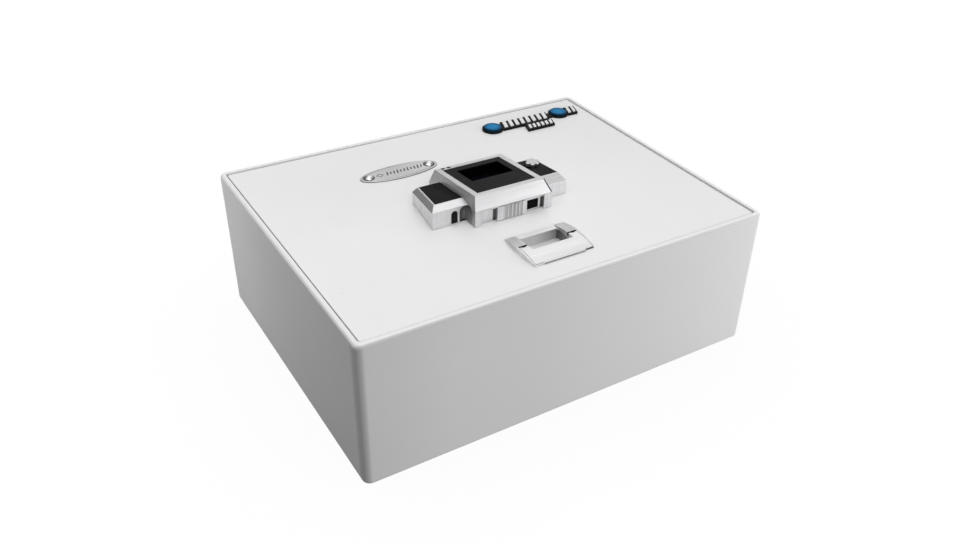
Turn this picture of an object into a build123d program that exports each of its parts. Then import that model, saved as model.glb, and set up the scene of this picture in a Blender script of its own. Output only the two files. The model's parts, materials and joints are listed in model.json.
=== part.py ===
"""Top-opening drawer safe with a scanner lock module, flush pull and two locking bolts.

Origin: centre of the footprint at the underside.  Millimetres.
+X right, +Y back (towards the hinge side), +Z up.
"""
from build123d import *

import os
from math import acos, cos, degrees, pi, radians, sin, sqrt, tan

os.makedirs("parts", exist_ok=True)

# ================================================================ DRIVING DIMENSIONS
# box
WIDTH, DEPTH, HEIGHT = 410.0, 315.0, 141.0
WALL = 1.5                             # body sheet
FLOOR = 2.0                            # floor sheet
CORNER_R = 7.2                         # vertical outside corners
RIM_R = 2.7                            # rounded top edge
FOOT_R = 1.8                           # rounded bottom edge
RIM_W = 5.05                           # flat rim, outside face to lid opening
OPENING_W, OPENING_D = WIDTH - 2 * RIM_W, DEPTH - 2 * RIM_W
OPENING_R = 3.2
LIP_Z = 126.0                          # bottom of the return lip
LEDGE_W = 8.0                          # seat ledge below the lip
LEDGE_Y = 72.0                         # its rear end on both sides
FIT = 0.03                             # assembly clearance between fixed pieces
ANCHOR_X, ANCHOR_Y, ANCHOR_R = 250.0, 150.0, 5.0     # floor holes: spacings and radius

# lid
GAP = 1.5                              # running gap around the lid
LID_W, LID_D = OPENING_W - 2 * GAP, OPENING_D - 2 * GAP
LID_TOP = 140.0
LID_T = 2.0
LID_UNDER = LID_TOP - LID_T
MOUNT_Z = LID_UNDER - 0.05             # top of the pieces fixed under the lid
SKIRT_Z = 128.0                        # bottom of the lid skirt
SKIRT_T = 2.0

# lid hinge and stays
HINGE_Y, HINGE_Z = 137.0, 134.5        # hinge axis, along X
PIN_R = 2.5
STAY_R = 40.0                          # quadrant stay slot radius about the hinge axis
STAY_ANGLE = 8.0                       # stud angle below the forward direction, degrees
LID_OPEN = 95.0                        # opening angle, degrees
STAY_X = 190.4                         # middle of the stay arms
HINGE_SCREW_X = 182.0
HINGE_SCREW_HOLE_R = 1.55
LUG_SCREW_YS = (121.8, 128.2)

# lock module castings; heights are at Y = SLOPE_Y
SLOPE = 0.10                           # fall of the module's top towards the back
SLOPE_Y = -50.0
SLOPE_STRETCH = sqrt(1 + SLOPE ** 2)   # length in the slope per length along Y
MODULE_Z = 140.4                       # underside of the module, on its gasket
HOUSING_LEFT, HOUSING_RIGHT, HOUSING_FRONT, HOUSING_BACK = -41.8, 39.8, -50.2, 36.2
HOUSING_WALL_Z, HOUSING_TOP_Z = 155.9, 168.4
WING_LEFT, WING_RIGHT, WING_FRONT, WING_BACK = -76.5, 65.9, -35.5, 17.5
WING_WALL_Z_LEFT, WING_WALL_Z_RIGHT, WING_TOP_Z = 158.2, 155.6, 161.2
TAPER = 0.1406                         # the left side draws in towards the back, mm per mm
LEFT_TOP_X, LEFT_TOP_Y = -70.0, -25.8  # front left corner of the left wing's top plane
HOUSING_SCREWS_FRONT = [(-34, -36), (32, -36)]
HOUSING_SCREWS_BACK = [(-34, 28), (32, 28)]
WING_SCREW_LEFT, WING_SCREW_RIGHT = (-67, -14), (60, -14)
MODULE_SCREWS = [*HOUSING_SCREWS_FRONT, *HOUSING_SCREWS_BACK, WING_SCREW_LEFT, WING_SCREW_RIGHT]
MODULE_HOLE_R = 2.3                    # screw holes in lid and gasket
TAP_R, TAP_DEPTH = 1.62, 7.5           # tapped holes in the castings
OPENING_AT = (-1, 2)                   # lid opening under the scanner housing
KEY_HOLE_R = 9.3                       # key lock hole in lid and gasket

# mechanism
KNOB = (52.0, 2.5)
KEY = KEY_X, KEY_Y = (-55.5, -4.0)
STROKE = 9.4                           # locking bolt travel
BOLT_X, BOLT_Z, BOLT_R = 115.0, 117.0, 6.0
BOLTS = [(BOLT_X, BOLT_Z), (-BOLT_X, BOLT_Z)]
BOLT_TIP = -142.5                      # nose of the withdrawn bolts
COVER_Z = 109.0                        # underside of the inner cover

# flush pull and nameplate fixings in the lid
PULL_FRONT, PULL_BACK = -130.0, -81.5
PULL_SCREWS = [(-26, -85.2), (26, -85.2)]
PLATE_X, PLATE_Y = -51.8, 79.3         # nameplate centre
RIVETS = [(-84, PLATE_Y), (-19.5, PLATE_Y)]
RIVET_HOLE_R = 1.7


# ================================================================ HELPERS
def side_plane(x, y=0, z=0, facing=1):
    """Plane facing +X or -X, local x along Y, local y along Z times facing."""
    return Plane(origin=(x, y, z), x_dir=(0, 1, 0), z_dir=(facing, 0, 0))


def front_plane(y, x=0, z=0):
    """Plane facing the front (-Y), local x along X, local y along Z."""
    return Plane(origin=(x, y, z), x_dir=(1, 0, 0), z_dir=(0, -1, 0))


def slope_z(y, ref_z):
    """Height at y of the sloping module plane that passes ref_z at SLOPE_Y."""
    return ref_z - SLOPE * (y - SLOPE_Y)


def on_slope(x, y, ref_z):
    return x, y, slope_z(y, ref_z)


def slope_plane(ref_z):
    """Workplane lying in a sloping module plane, local x along X."""
    return Plane(origin=(0, SLOPE_Y, ref_z), x_dir=(1, 0, 0), z_dir=(0, SLOPE, 1))


def along_slope(y):
    """Local coordinate in a slope plane for a given y."""
    return (y - SLOPE_Y) * SLOPE_STRETCH


def circles(radius, *places, mode=Mode.ADD):
    """Circles at the given places of the running sketch."""
    with Locations(*places):
        Circle(radius, mode=mode)


def rectangles(width, depth, *places, mode=Mode.ADD):
    """Rectangles at the given places of the running sketch."""
    with Locations(*places):
        Rectangle(width, depth, mode=mode)


def rect_between(x0, x1, y0, y1, mode=Mode.ADD):
    """Rectangle between two corners in the running sketch."""
    rectangles(x1 - x0, y1 - y0, ((x0 + x1) / 2, (y0 + y1) / 2), mode=mode)


def slope_rect(x0, x1, y0, y1):
    """Rectangle in a sketch on a slope plane, its ends given as true y."""
    rect_between(x0, x1, along_slope(y0), along_slope(y1))


def arched_opening(x, z0, arch_z, radius):
    """Upright slot with a round head centred at arch_z, in the running sketch."""
    rect_between(x - radius, x + radius, z0, arch_z)
    circles(radius, (x, arch_z))


def slab(x0, x1, y0, y1, z0, z1):
    """Plain block between two corners."""
    return Pos((x0 + x1) / 2, (y0 + y1) / 2, (z0 + z1) / 2) * Box(x1 - x0, y1 - y0, z1 - z0)


def plane_through(a, b, c, outward):
    """Plane through three points with its normal on the side of the vector outward."""
    a, b, c = Vector(*a), Vector(*b), Vector(*c)
    normal = (b - a).cross(c - a).normalized()
    if normal.dot(Vector(*outward)) < 0:
        normal = normal * -1
    return Plane(origin=a, x_dir=(b - a).normalized(), z_dir=normal)


def largest_solid(shape):
    return Part(shape.solids().sort_by(SortBy.VOLUME)[-1].wrapped)


def without_scraps(part):
    """The part itself, or its largest solid where the cuts left loose pieces."""
    return largest_solid(part) if len(part.solids()) > 1 else part


def save(part, name):
    part.label = name
    export_step(part, "parts/" + name + ".step")


def save_screws(name, places, head_r, head_h, shank_r, shank_top):
    """Upward screws; places are (x, y, z) with z on the seat of the head."""
    with BuildPart() as screws:
        for x, y, z in places:
            with BuildSketch(Plane.XY.offset(z)):
                circles(head_r, (x, y))
            extrude(amount=-head_h)
            with BuildSketch(Plane.XY.offset(z - 0.1)):
                circles(shank_r, (x, y))
            extrude(amount=shank_top - z + 0.1)
    save(screws.part, name)


# ================================================================ BODY
LIP_OUTER = (OPENING_W + 2 * WALL, OPENING_D + 2 * WALL, OPENING_R + WALL)
LIP_CUT_X = OPENING_W / 2 + WALL + 0.2       # start of the pin holes, outside the lip

with BuildPart() as body_shell:
    with BuildSketch(Plane.XY):
        RectangleRounded(WIDTH, DEPTH, CORNER_R)
    extrude(amount=HEIGHT)
    fillet(body_shell.edges().group_by(Axis.Z)[-1], RIM_R)
    fillet(body_shell.edges().group_by(Axis.Z)[0], FOOT_R)
    with BuildSketch(Plane.XY.offset(FLOOR)):
        RectangleRounded(WIDTH - 2 * WALL, DEPTH - 2 * WALL, CORNER_R - WALL)
    extrude(amount=HEIGHT - WALL - FLOOR, mode=Mode.SUBTRACT)
    with BuildSketch(Plane.XY.offset(HEIGHT - WALL - 1)):
        RectangleRounded(OPENING_W, OPENING_D, OPENING_R)
    extrude(amount=WALL + 2, mode=Mode.SUBTRACT)
    # return lip
    with BuildSketch(Plane.XY.offset(LIP_Z)):
        RectangleRounded(*LIP_OUTER)
        RectangleRounded(OPENING_W, OPENING_D, OPENING_R, mode=Mode.SUBTRACT)
    extrude(amount=HEIGHT - WALL - LIP_Z)
    # seat ledge, front and forward part of both sides
    with BuildSketch(Plane.XY.offset(LIP_Z - WALL)):
        RectangleRounded(*LIP_OUTER)
        Rectangle(OPENING_W - 2 * LEDGE_W, OPENING_D - 2 * LEDGE_W, mode=Mode.SUBTRACT)
        rectangles(WIDTH, 200, (0, LEDGE_Y + 100), mode=Mode.SUBTRACT)
    extrude(amount=WALL)
    # hinge pin holes in the side lips
    for side in (1, -1):
        with BuildSketch(side_plane(side * LIP_CUT_X, HINGE_Y, HINGE_Z)):
            Circle(PIN_R + FIT)
        extrude(amount=-side * (WALL + 0.4), mode=Mode.SUBTRACT)
    # floor anchor holes
    with BuildSketch(Plane.XY):
        with GridLocations(ANCHOR_X, ANCHOR_Y, 2, 2):
            Circle(ANCHOR_R)
    extrude(amount=FLOOR, mode=Mode.SUBTRACT)
save(body_shell.part, "body_shell")

MAT_MARGIN, MAT_T, MAT_HOLE_R = 1.5, 4.5, 12
with BuildPart() as floor_mat:
    with BuildSketch(Plane.XY.offset(FLOOR + 0.05)):
        RectangleRounded(WIDTH - 2 * (WALL + MAT_MARGIN), DEPTH - 2 * (WALL + MAT_MARGIN), 4)
        with GridLocations(ANCHOR_X, ANCHOR_Y, 2, 2):
            Circle(MAT_HOLE_R, mode=Mode.SUBTRACT)
    extrude(amount=MAT_T)
save(floor_mat.part, "floor_mat")

# hinge pins: head between wall and lip, shaft inwards
PIN_HEAD_X = 201.5                     # inner face of the head
PIN_HEAD_R, PIN_HEAD_T = 4.5, 1.9
PIN_LENGTH = 10.5
PIN_END_X = PIN_HEAD_X - PIN_LENGTH
CLIP_GROOVE_X, CLIP_GROOVE_W = 192.9, 0.8

with BuildPart() as hinge_pins:
    for side in (1, -1):
        with BuildSketch(side_plane(side * PIN_HEAD_X, HINGE_Y, HINGE_Z, side)):
            Circle(PIN_HEAD_R)
        extrude(amount=PIN_HEAD_T)
        with BuildSketch(side_plane(side * PIN_HEAD_X, HINGE_Y, HINGE_Z, -side)):
            Circle(PIN_R)
        extrude(amount=PIN_LENGTH)
        # groove for the clip
        with BuildSketch(side_plane(side * CLIP_GROOVE_X, HINGE_Y, HINGE_Z, -side)):
            Circle(PIN_R + 1)
            Circle(PIN_R - 0.6, mode=Mode.SUBTRACT)
        extrude(amount=CLIP_GROOVE_W, mode=Mode.SUBTRACT)
    end_rims = hinge_pins.edges().filter_by(GeomType.CIRCLE).filter_by(
        lambda e: abs(abs(e.center().X) - PIN_END_X) < 0.05)
    chamfer(end_rims, 0.5)
save(hinge_pins.part, "hinge_pins")

with BuildPart() as hinge_clips:
    for side in (1, -1):
        with BuildSketch(side_plane(side * (CLIP_GROOVE_X - 0.05), HINGE_Y, HINGE_Z, -side)):
            Circle(3.4)
            Circle(PIN_R - 0.58, mode=Mode.SUBTRACT)
            rectangles(2.2, 5, (0, -3.4), mode=Mode.SUBTRACT)
        extrude(amount=CLIP_GROOVE_W - 0.1)
save(hinge_clips.part, "hinge_clips")

# stay brackets: under the ledge's level, rising inboard of the lid skirt to carry the stay stud
STUD_Y = HINGE_Y - STAY_R * cos(radians(STAY_ANGLE))
STUD_Z = HINGE_Z - STAY_R * sin(radians(STAY_ANGLE))
STUD_R = 3
BRACKET_W = 22
# (distance from the middle plane, z)
BRACKET_PROFILE = [
    (203.45, 104), (203.45, 116.5), (203.45, 118.45), (194.2, 122.7), (194.2, 132.5),
    (192.2, 132.5), (192.2, 121.2), (201.5, 116.9), (201.5, 104),
]

with BuildPart() as stay_brackets:
    for side in (1, -1):
        with BuildSketch(front_plane(STUD_Y - BRACKET_W / 2)):
            with BuildLine():
                Polyline(*[(side * x, z) for x, z in BRACKET_PROFILE], close=True)
            make_face()
        extrude(amount=-BRACKET_W)
        with BuildSketch(side_plane(side * 195, STUD_Y, STUD_Z, -side)):
            Circle(STUD_R + FIT)
        extrude(amount=4, mode=Mode.SUBTRACT)
save(stay_brackets.part, "stay_brackets")

STUD_HEAD_R, STUD_HEAD_T = 4.2, 1.2    # outboard head
STUD_LENGTH = 6.9
STUD_CAP_R, STUD_CAP_T = 5, 1.4        # inboard cap

with BuildPart() as stay_studs:
    for side in (1, -1):
        stud_plane = side_plane(side * 194.25, STUD_Y, STUD_Z, -side)
        with BuildSketch(stud_plane):
            Circle(STUD_HEAD_R)
        extrude(amount=-STUD_HEAD_T)
        with BuildSketch(stud_plane):
            Circle(STUD_R)
        extrude(amount=STUD_LENGTH)
        with BuildSketch(stud_plane.offset(STUD_LENGTH)):
            Circle(STUD_CAP_R)
        extrude(amount=STUD_CAP_T)
save(stay_studs.part, "stay_studs")

# keepers: under the front ledge, the bolts enter their holes
KEEPER_Z = 105
with BuildPart() as bolt_keepers:
    for side in (1, -1):
        with BuildSketch(Plane.XY.offset(KEEPER_Z)):
            rectangles(30, 10.4, (side * BOLT_X, -150.7))
            rectangles(26, 9, (side * BOLT_X, -151.85), mode=Mode.SUBTRACT)
        extrude(amount=19.4)
    with BuildSketch(front_plane(-144)):
        circles(BOLT_R + 0.6, *BOLTS)
    extrude(amount=6, mode=Mode.SUBTRACT)
save(bolt_keepers.part, "bolt_keepers")

with BuildPart() as lid_bumpers:
    with BuildSketch(Plane.XY.offset(LIP_Z + 0.02)):
        rectangles(6.4, 18, (195.5, -120), (-195.5, -120), (195.5, 60), (-195.5, 60))
    extrude(amount=1.93)
save(lid_bumpers.part, "lid_bumpers")

# ================================================================ LID
with BuildPart() as lid_panel:
    with BuildSketch(Plane.XY.offset(SKIRT_Z)):
        RectangleRounded(LID_W, LID_D, 2.2)
    extrude(amount=LID_TOP - SKIRT_Z)
    fillet(lid_panel.edges().group_by(Axis.Z)[-1], 0.9)
    with BuildSketch(Plane.XY.offset(SKIRT_Z)):
        Rectangle(LID_W - 2 * SKIRT_T, LID_D - 2 * SKIRT_T)
    extrude(amount=LID_UNDER - SKIRT_Z, mode=Mode.SUBTRACT)
    # hinge pin clearance in the side skirts
    with BuildSketch(side_plane(210, HINGE_Y, HINGE_Z, -1)):
        Circle(3.1)
    extrude(amount=420, mode=Mode.SUBTRACT)
    # openings under the module, for the pull cup and for screws and rivets
    with BuildSketch(Plane.XY.offset(LID_UNDER)):
        with Locations(OPENING_AT):
            RectangleRounded(54, 40, 3)
        circles(5.2, KNOB)
        circles(KEY_HOLE_R, KEY)
        with Locations((0, -106)):
            RectangleRounded(46, 43.5, 3)
        circles(MODULE_HOLE_R, *MODULE_SCREWS)
        circles(1.8, *PULL_SCREWS)
        circles(RIVET_HOLE_R, *RIVETS)
    extrude(amount=LID_T, mode=Mode.SUBTRACT)
save(lid_panel.part, "lid_panel")

# hinge lugs: a cheek around each pin with a screwed foot under the lid
LUG_X, LUG_T = 196.4, 3                # outer face and sheet
LUG_TOP = LID_UNDER - FIT
# (y, z)
LUG_PROFILE = [(118, LUG_TOP), (147, LUG_TOP), (147, 132.5), (143, 128.6), (131, 128.6),
               (118, 133.5)]

with BuildPart() as hinge_lugs:
    for side in (1, -1):
        facing = -side                 # local y of the sketch is facing times Z
        with BuildSketch(side_plane(side * LUG_X, facing=facing)):
            with BuildLine():
                Polyline(*[(y, facing * z) for y, z in LUG_PROFILE], close=True)
            make_face()
            circles(PIN_R + 0.05, (HINGE_Y, facing * HINGE_Z), mode=Mode.SUBTRACT)
        extrude(amount=LUG_T)
        with BuildSketch(Plane.XY.offset(LUG_TOP - LUG_T)):
            rectangles(20, 14, (side * 186.4, 125))
        extrude(amount=LUG_T)
        with BuildSketch(Plane.XY.offset(134)):
            circles(HINGE_SCREW_HOLE_R, *[(side * HINGE_SCREW_X, y) for y in LUG_SCREW_YS])
        extrude(amount=5, mode=Mode.SUBTRACT)
save(hinge_lugs.part, "hinge_lugs")


# quadrant stays: slot concentric with the hinge
def hinge_polar(radius, angle):
    """(y, z) at a radius and an angle below the forward direction from the hinge axis."""
    return HINGE_Y - radius * cos(radians(angle)), HINGE_Z - radius * sin(radians(angle))


def hinge_arc(radius, start, end):
    """Arc about the hinge axis in the running line."""
    ThreePointArc(hinge_polar(radius, start), hinge_polar(radius, 50), hinge_polar(radius, end))


ARM_OUT, ARM_IN = STAY_R + 6.5, STAY_R - 6.5         # arm outline radii
ARM_START, ARM_END = 1.0, STAY_ANGLE + LID_OPEN + 4.2
SLOT_HALF = 3.12
SLOT_OUT, SLOT_IN = STAY_R + SLOT_HALF, STAY_R - SLOT_HALF
SLOT_START, SLOT_END = STAY_ANGLE - 0.3, STAY_ANGLE + LID_OPEN + 0.3
SLOT_CAP = degrees(SLOT_HALF / STAY_R)               # half the slot width seen from the hinge
FLANGE_T, FLANGE_W = 2, 14
ARM_CORNER_OUT = hinge_polar(ARM_OUT, ARM_START)
ARM_CORNER_IN = hinge_polar(ARM_IN, ARM_START)
FLANGE_Y0, FLANGE_Y1 = ARM_CORNER_OUT[0] - 14, ARM_CORNER_IN[0]
ARM_SCREW_YS = (FLANGE_Y0 + 6, FLANGE_Y1 - 6)

with BuildPart() as stay_arms:
    for side in (1, -1):
        with BuildSketch(side_plane(side * STAY_X)):
            with BuildLine():
                hinge_arc(ARM_OUT, ARM_START, ARM_END)
                ThreePointArc(hinge_polar(ARM_OUT, ARM_END), hinge_polar(STAY_R, ARM_END + 8),
                              hinge_polar(ARM_IN, ARM_END))
                hinge_arc(ARM_IN, ARM_END, ARM_START)
                Polyline(ARM_CORNER_IN, (FLANGE_Y1, MOUNT_Z), (FLANGE_Y0, MOUNT_Z),
                         ARM_CORNER_OUT)
            make_face()
            with BuildLine():
                hinge_arc(SLOT_OUT, SLOT_START, SLOT_END)
                ThreePointArc(hinge_polar(SLOT_OUT, SLOT_END),
                              hinge_polar(STAY_R, SLOT_END + SLOT_CAP),
                              hinge_polar(SLOT_IN, SLOT_END))
                hinge_arc(SLOT_IN, SLOT_END, SLOT_START)
                ThreePointArc(hinge_polar(SLOT_IN, SLOT_START),
                              hinge_polar(STAY_R, SLOT_START - SLOT_CAP),
                              hinge_polar(SLOT_OUT, SLOT_START))
            make_face(mode=Mode.SUBTRACT)
        extrude(amount=1.0, both=True)
        # mounting flange under the lid
        with BuildSketch(Plane.XY.offset(MOUNT_Z - FLANGE_T)):
            rectangles(FLANGE_W, FLANGE_Y1 - FLANGE_Y0,
                       (side * (STAY_X - FLANGE_W / 2), (FLANGE_Y0 + FLANGE_Y1) / 2))
        extrude(amount=FLANGE_T)
        with BuildSketch(Plane.XY.offset(134)):
            circles(HINGE_SCREW_HOLE_R, *[(side * HINGE_SCREW_X, y) for y in ARM_SCREW_YS])
        extrude(amount=5, mode=Mode.SUBTRACT)
save(stay_arms.part, "stay_arms")

# pan-head screws holding lugs and stay arms
save_screws(
    "hinge_screws",
    [(side * HINGE_SCREW_X, y, z) for side in (1, -1)
     for ys, z in ((LUG_SCREW_YS, 134.95), (ARM_SCREW_YS, 135.93)) for y in ys],
    head_r=2.7, head_h=1.6, shank_r=1.5, shank_top=MOUNT_Z)


# ================================================================ LOCK MODULE CASTINGS
def trimmed(block, cuts):
    """The block with everything outside the given planes removed."""
    for cut in cuts:
        block = split(block, bisect_by=cut, keep=Keep.BOTTOM)
    return block


def casting_form(left, right, front, back, wall_z, top_z,
                 inset_left, inset_right, inset_front, inset_back):
    """Vertical walls, then sloping faces up to a sloping top; a zero inset has no face."""
    top_left, top_right = left + inset_left, right - inset_right
    top_front, top_back = front + inset_front, back - inset_back
    top_corner = on_slope(top_left, top_front, top_z)
    cuts = [plane_through(top_corner, on_slope(top_right, top_front, top_z),
                          on_slope(top_left, top_back, top_z), (0, 0, 1))]
    if inset_left:
        cuts.append(plane_through(on_slope(left, front, wall_z), on_slope(left, back, wall_z),
                                  top_corner, (-1, 0, 0)))
    if inset_right:
        cuts.append(plane_through(on_slope(right, front, wall_z), on_slope(right, back, wall_z),
                                  on_slope(top_right, top_front, top_z), (1, 0, 0)))
    if inset_front:
        cuts.append(plane_through(on_slope(left, front, wall_z), on_slope(right, front, wall_z),
                                  top_corner, (0, -1, 0)))
    if inset_back:
        cuts.append(plane_through(on_slope(left, back, wall_z), on_slope(right, back, wall_z),
                                  on_slope(top_left, top_back, top_z), (0, 1, 0)))
    return trimmed(slab(left, right, front, back, MODULE_Z, MODULE_Z + 40), cuts)


def tapered_x(y, x_front, y_front):
    """x of a line from (x_front, y_front) that draws in with the left side's taper."""
    return x_front + TAPER * (y - y_front)


housing_form = casting_form(
    HOUSING_LEFT, HOUSING_RIGHT, HOUSING_FRONT, HOUSING_BACK, HOUSING_WALL_Z, HOUSING_TOP_Z,
    inset_left=3.3, inset_right=5.3, inset_front=6.4, inset_back=4.5)
right_form = casting_form(
    33.0, WING_RIGHT, WING_FRONT, WING_BACK, WING_WALL_Z_RIGHT, WING_TOP_Z,
    inset_left=0, inset_right=2.7, inset_front=10.5, inset_back=0)

WING_LEFT_BACK = tapered_x(WING_BACK, WING_LEFT, WING_FRONT)     # x of the rear left corner
left_wall_front = on_slope(WING_LEFT, WING_FRONT, WING_WALL_Z_LEFT)
left_top_corner = on_slope(LEFT_TOP_X, LEFT_TOP_Y, WING_TOP_Z)
left_form = trimmed(slab(-83, -37, WING_FRONT, WING_BACK, MODULE_Z, MODULE_Z + 40), (
    # left wall, top, left slope, front slope
    plane_through((WING_LEFT, WING_FRONT, 140), (WING_LEFT_BACK, WING_BACK, 140),
                  (WING_LEFT, WING_FRONT, 150), (-1, 0, 0)),
    plane_through(on_slope(-50, 0, WING_TOP_Z), on_slope(-60, 0, WING_TOP_Z),
                  on_slope(-50, 10, WING_TOP_Z), (0, 0, 1)),
    plane_through(left_wall_front, on_slope(WING_LEFT_BACK, WING_BACK, WING_WALL_Z_LEFT),
                  left_top_corner, (-1, 0, 0)),
    plane_through(left_wall_front, on_slope(-40, WING_FRONT, WING_WALL_Z_LEFT),
                  left_top_corner, (0, -1, 0)),
))

HOUSING_TOP = slope_plane(HOUSING_TOP_Z)
WING_TOP = slope_plane(WING_TOP_Z)
EDGE_R = 0.7                                                     # softened casting edges

# black window plate and finger well: left, right, front, back
PLATE = PLATE_X0, PLATE_X1, PLATE_Y0, PLATE_Y1 = -32.8, 28.5, -38.3, 26.0
WELL = WELL_X0, WELL_X1, WELL_Y0, WELL_Y1 = -22.8, 21.5, -12.4, 17.3
RECESS_X0, RECESS_X1, RECESS_Z = -35.5, 31.5, 154.9              # front recess
RECESS_DEPTH = 3.6
RECESS_Y = HOUSING_FRONT + RECESS_DEPTH                          # its rear face
PORT_X, PORT_Z = 21.0, 146.3                                     # power terminal pocket
GROOVE_Z = 153.4                                                 # terminal cover's groove
LIGHTS_X, LIGHTS_Y = (-30.1, -23.9), 29.0
LIGHTS = [(x, along_slope(LIGHTS_Y)) for x in LIGHTS_X]


def grown(bounds, margin):
    """Bounds (x0, x1, y0, y1) moved outwards by a margin."""
    x0, x1, y0, y1 = bounds
    return x0 - margin, x1 + margin, y0 - margin, y1 + margin


with BuildPart() as scanner_housing:
    add(housing_form)
    fillet(scanner_housing.edges().filter_by(
        lambda e: e.length > 12 and e.center().Z > 145), EDGE_R)
    # hollow inside
    with BuildSketch(Plane.XY.offset(MODULE_Z)):
        rectangles(74, 66, (-1, -0.2))
    extrude(amount=8.6, mode=Mode.SUBTRACT)
    # pocket for the window plate and through opening for its well
    with BuildSketch(HOUSING_TOP):
        slope_rect(*grown(PLATE, 0.1))
    extrude(amount=-1.4, mode=Mode.SUBTRACT)
    with BuildSketch(HOUSING_TOP):
        slope_rect(*grown(WELL, 1.6))
    extrude(amount=-30, mode=Mode.SUBTRACT)
    # front recess, terminal pocket, groove of the terminal cover
    with BuildSketch(front_plane(HOUSING_FRONT)):
        rect_between(RECESS_X0, RECESS_X1, MODULE_Z, RECESS_Z)
    extrude(amount=-RECESS_DEPTH, mode=Mode.SUBTRACT)
    with BuildSketch(front_plane(RECESS_Y)):
        rectangles(12.0, 9.4, (PORT_X, PORT_Z))
    extrude(amount=-6.5, mode=Mode.SUBTRACT)
    with BuildSketch(front_plane(RECESS_Y)):
        rectangles(49, 1.4, (4.5, GROOVE_Z))
    extrude(amount=-1.6, mode=Mode.SUBTRACT)
    # arched pocket at the right end, narrow groove left of the terminal cover
    with BuildSketch(front_plane(RECESS_Y)):
        arched_opening(30.35, MODULE_Z - 1, 150.4, 1.15)
        rect_between(-21.5, -18.0, MODULE_Z - 1, 152)
    extrude(amount=-2.3, mode=Mode.SUBTRACT)
    # status lights
    with BuildSketch(HOUSING_TOP):
        circles(1.32, *LIGHTS)
    extrude(amount=-3, mode=Mode.SUBTRACT)
    # rear screw bosses, tapped holes from below
    with BuildSketch(Plane.XY.offset(MODULE_Z)):
        circles(5, *HOUSING_SCREWS_BACK)
    extrude(amount=10)
    with BuildSketch(Plane.XY.offset(MODULE_Z)):
        circles(TAP_R, *HOUSING_SCREWS_BACK, *HOUSING_SCREWS_FRONT)
    extrude(amount=TAP_DEPTH, mode=Mode.SUBTRACT)
save(without_scraps(scanner_housing.part), "scanner_housing")

WING_HOLLOW_H = 8.0
WING_BOSS_R, WING_BOSS_H = 4.2, 9
COVER_POCKET_FRONT = -25.1
SLOT_X, SLOT_ARCH_Z = -54.4, 150.2     # arched slot in the left wing's front face
SCALLOP, SCALLOP_R, SCALLOP_H = (-43.4, -38.6), 6.6, 10.0


def wing_edge(edge, side):
    """Outer upper edges of a wing, without those at the rear end of its top."""
    centre = edge.center()
    return (edge.length > 8 and side * centre.X > 43 and centre.Z > 143
            and not (centre.Y > 17 and centre.Z > 150))


def cover_outline(x_front, y0, y1):
    """Outline on the left wing's top from y0 to y1; its tapered left edge runs
    through x_front at the front of the pocket."""
    return [(tapered_x(y0, x_front, COVER_POCKET_FRONT), along_slope(y0)),
            (-30, along_slope(y0)), (-30, along_slope(y1)),
            (tapered_x(y1, x_front, COVER_POCKET_FRONT), along_slope(y1))]


with BuildPart() as wing_left:
    add(left_form)
    fillet(wing_left.edges().filter_by(lambda e: wing_edge(e, -1)), EDGE_R)
    add(housing_form, mode=Mode.SUBTRACT)
    # hollow, cover pocket, key lock well
    with BuildSketch(Plane.XY.offset(MODULE_Z)):
        rectangles(22, 40, (KEY_X, -6))
    extrude(amount=WING_HOLLOW_H, mode=Mode.SUBTRACT)
    with BuildSketch(WING_TOP):
        with BuildLine():
            Polyline(*cover_outline(-68.3, COVER_POCKET_FRONT, 25.0), close=True)
        make_face()
    extrude(amount=-1.5, mode=Mode.SUBTRACT)
    with BuildSketch(Plane.XY.offset(MODULE_Z)):
        circles(8.55, KEY)
    extrude(amount=30, mode=Mode.SUBTRACT)
    with BuildSketch(front_plane(WING_FRONT)):
        arched_opening(SLOT_X, SLOT_ARCH_Z - 10, SLOT_ARCH_Z, 3.3)
    extrude(amount=-4, mode=Mode.SUBTRACT)
    # round-topped scallop against the scanner housing
    with BuildSketch(Plane.XY.offset(MODULE_Z)):
        circles(SCALLOP_R, SCALLOP)
    extrude(amount=SCALLOP_H, mode=Mode.SUBTRACT)
    with Locations((*SCALLOP, MODULE_Z + SCALLOP_H)):
        Sphere(SCALLOP_R, mode=Mode.SUBTRACT)
    # screw boss and tapped hole
    with BuildSketch(Plane.XY.offset(MODULE_Z)):
        circles(WING_BOSS_R, WING_SCREW_LEFT)
    extrude(amount=WING_BOSS_H)
    with BuildSketch(Plane.XY.offset(MODULE_Z)):
        circles(TAP_R, WING_SCREW_LEFT)
    extrude(amount=TAP_DEPTH, mode=Mode.SUBTRACT)
save(without_scraps(wing_left.part), "wing_left")

with BuildPart() as wing_right:
    add(right_form)
    fillet(wing_right.edges().filter_by(lambda e: wing_edge(e, 1)), EDGE_R)
    add(housing_form, mode=Mode.SUBTRACT)
    # hollow, inlay pocket, knob bushing hole
    with BuildSketch(Plane.XY.offset(MODULE_Z)):
        rectangles(21, 40, (53, -6))
    extrude(amount=WING_HOLLOW_H, mode=Mode.SUBTRACT)
    with BuildSketch(WING_TOP):
        slope_rect(30, 62.6, -24.5, 25)
    extrude(amount=-1.1, mode=Mode.SUBTRACT)
    with BuildSketch(Plane.XY.offset(MODULE_Z)):
        circles(5.03, KNOB)
    extrude(amount=30, mode=Mode.SUBTRACT)
    # screw boss and tapped hole
    with BuildSketch(Plane.XY.offset(MODULE_Z)):
        circles(WING_BOSS_R, WING_SCREW_RIGHT)
    extrude(amount=WING_BOSS_H)
    with BuildSketch(Plane.XY.offset(MODULE_Z)):
        circles(TAP_R, WING_SCREW_RIGHT)
    extrude(amount=TAP_DEPTH, mode=Mode.SUBTRACT)
save(without_scraps(wing_right.part), "wing_right")

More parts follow.
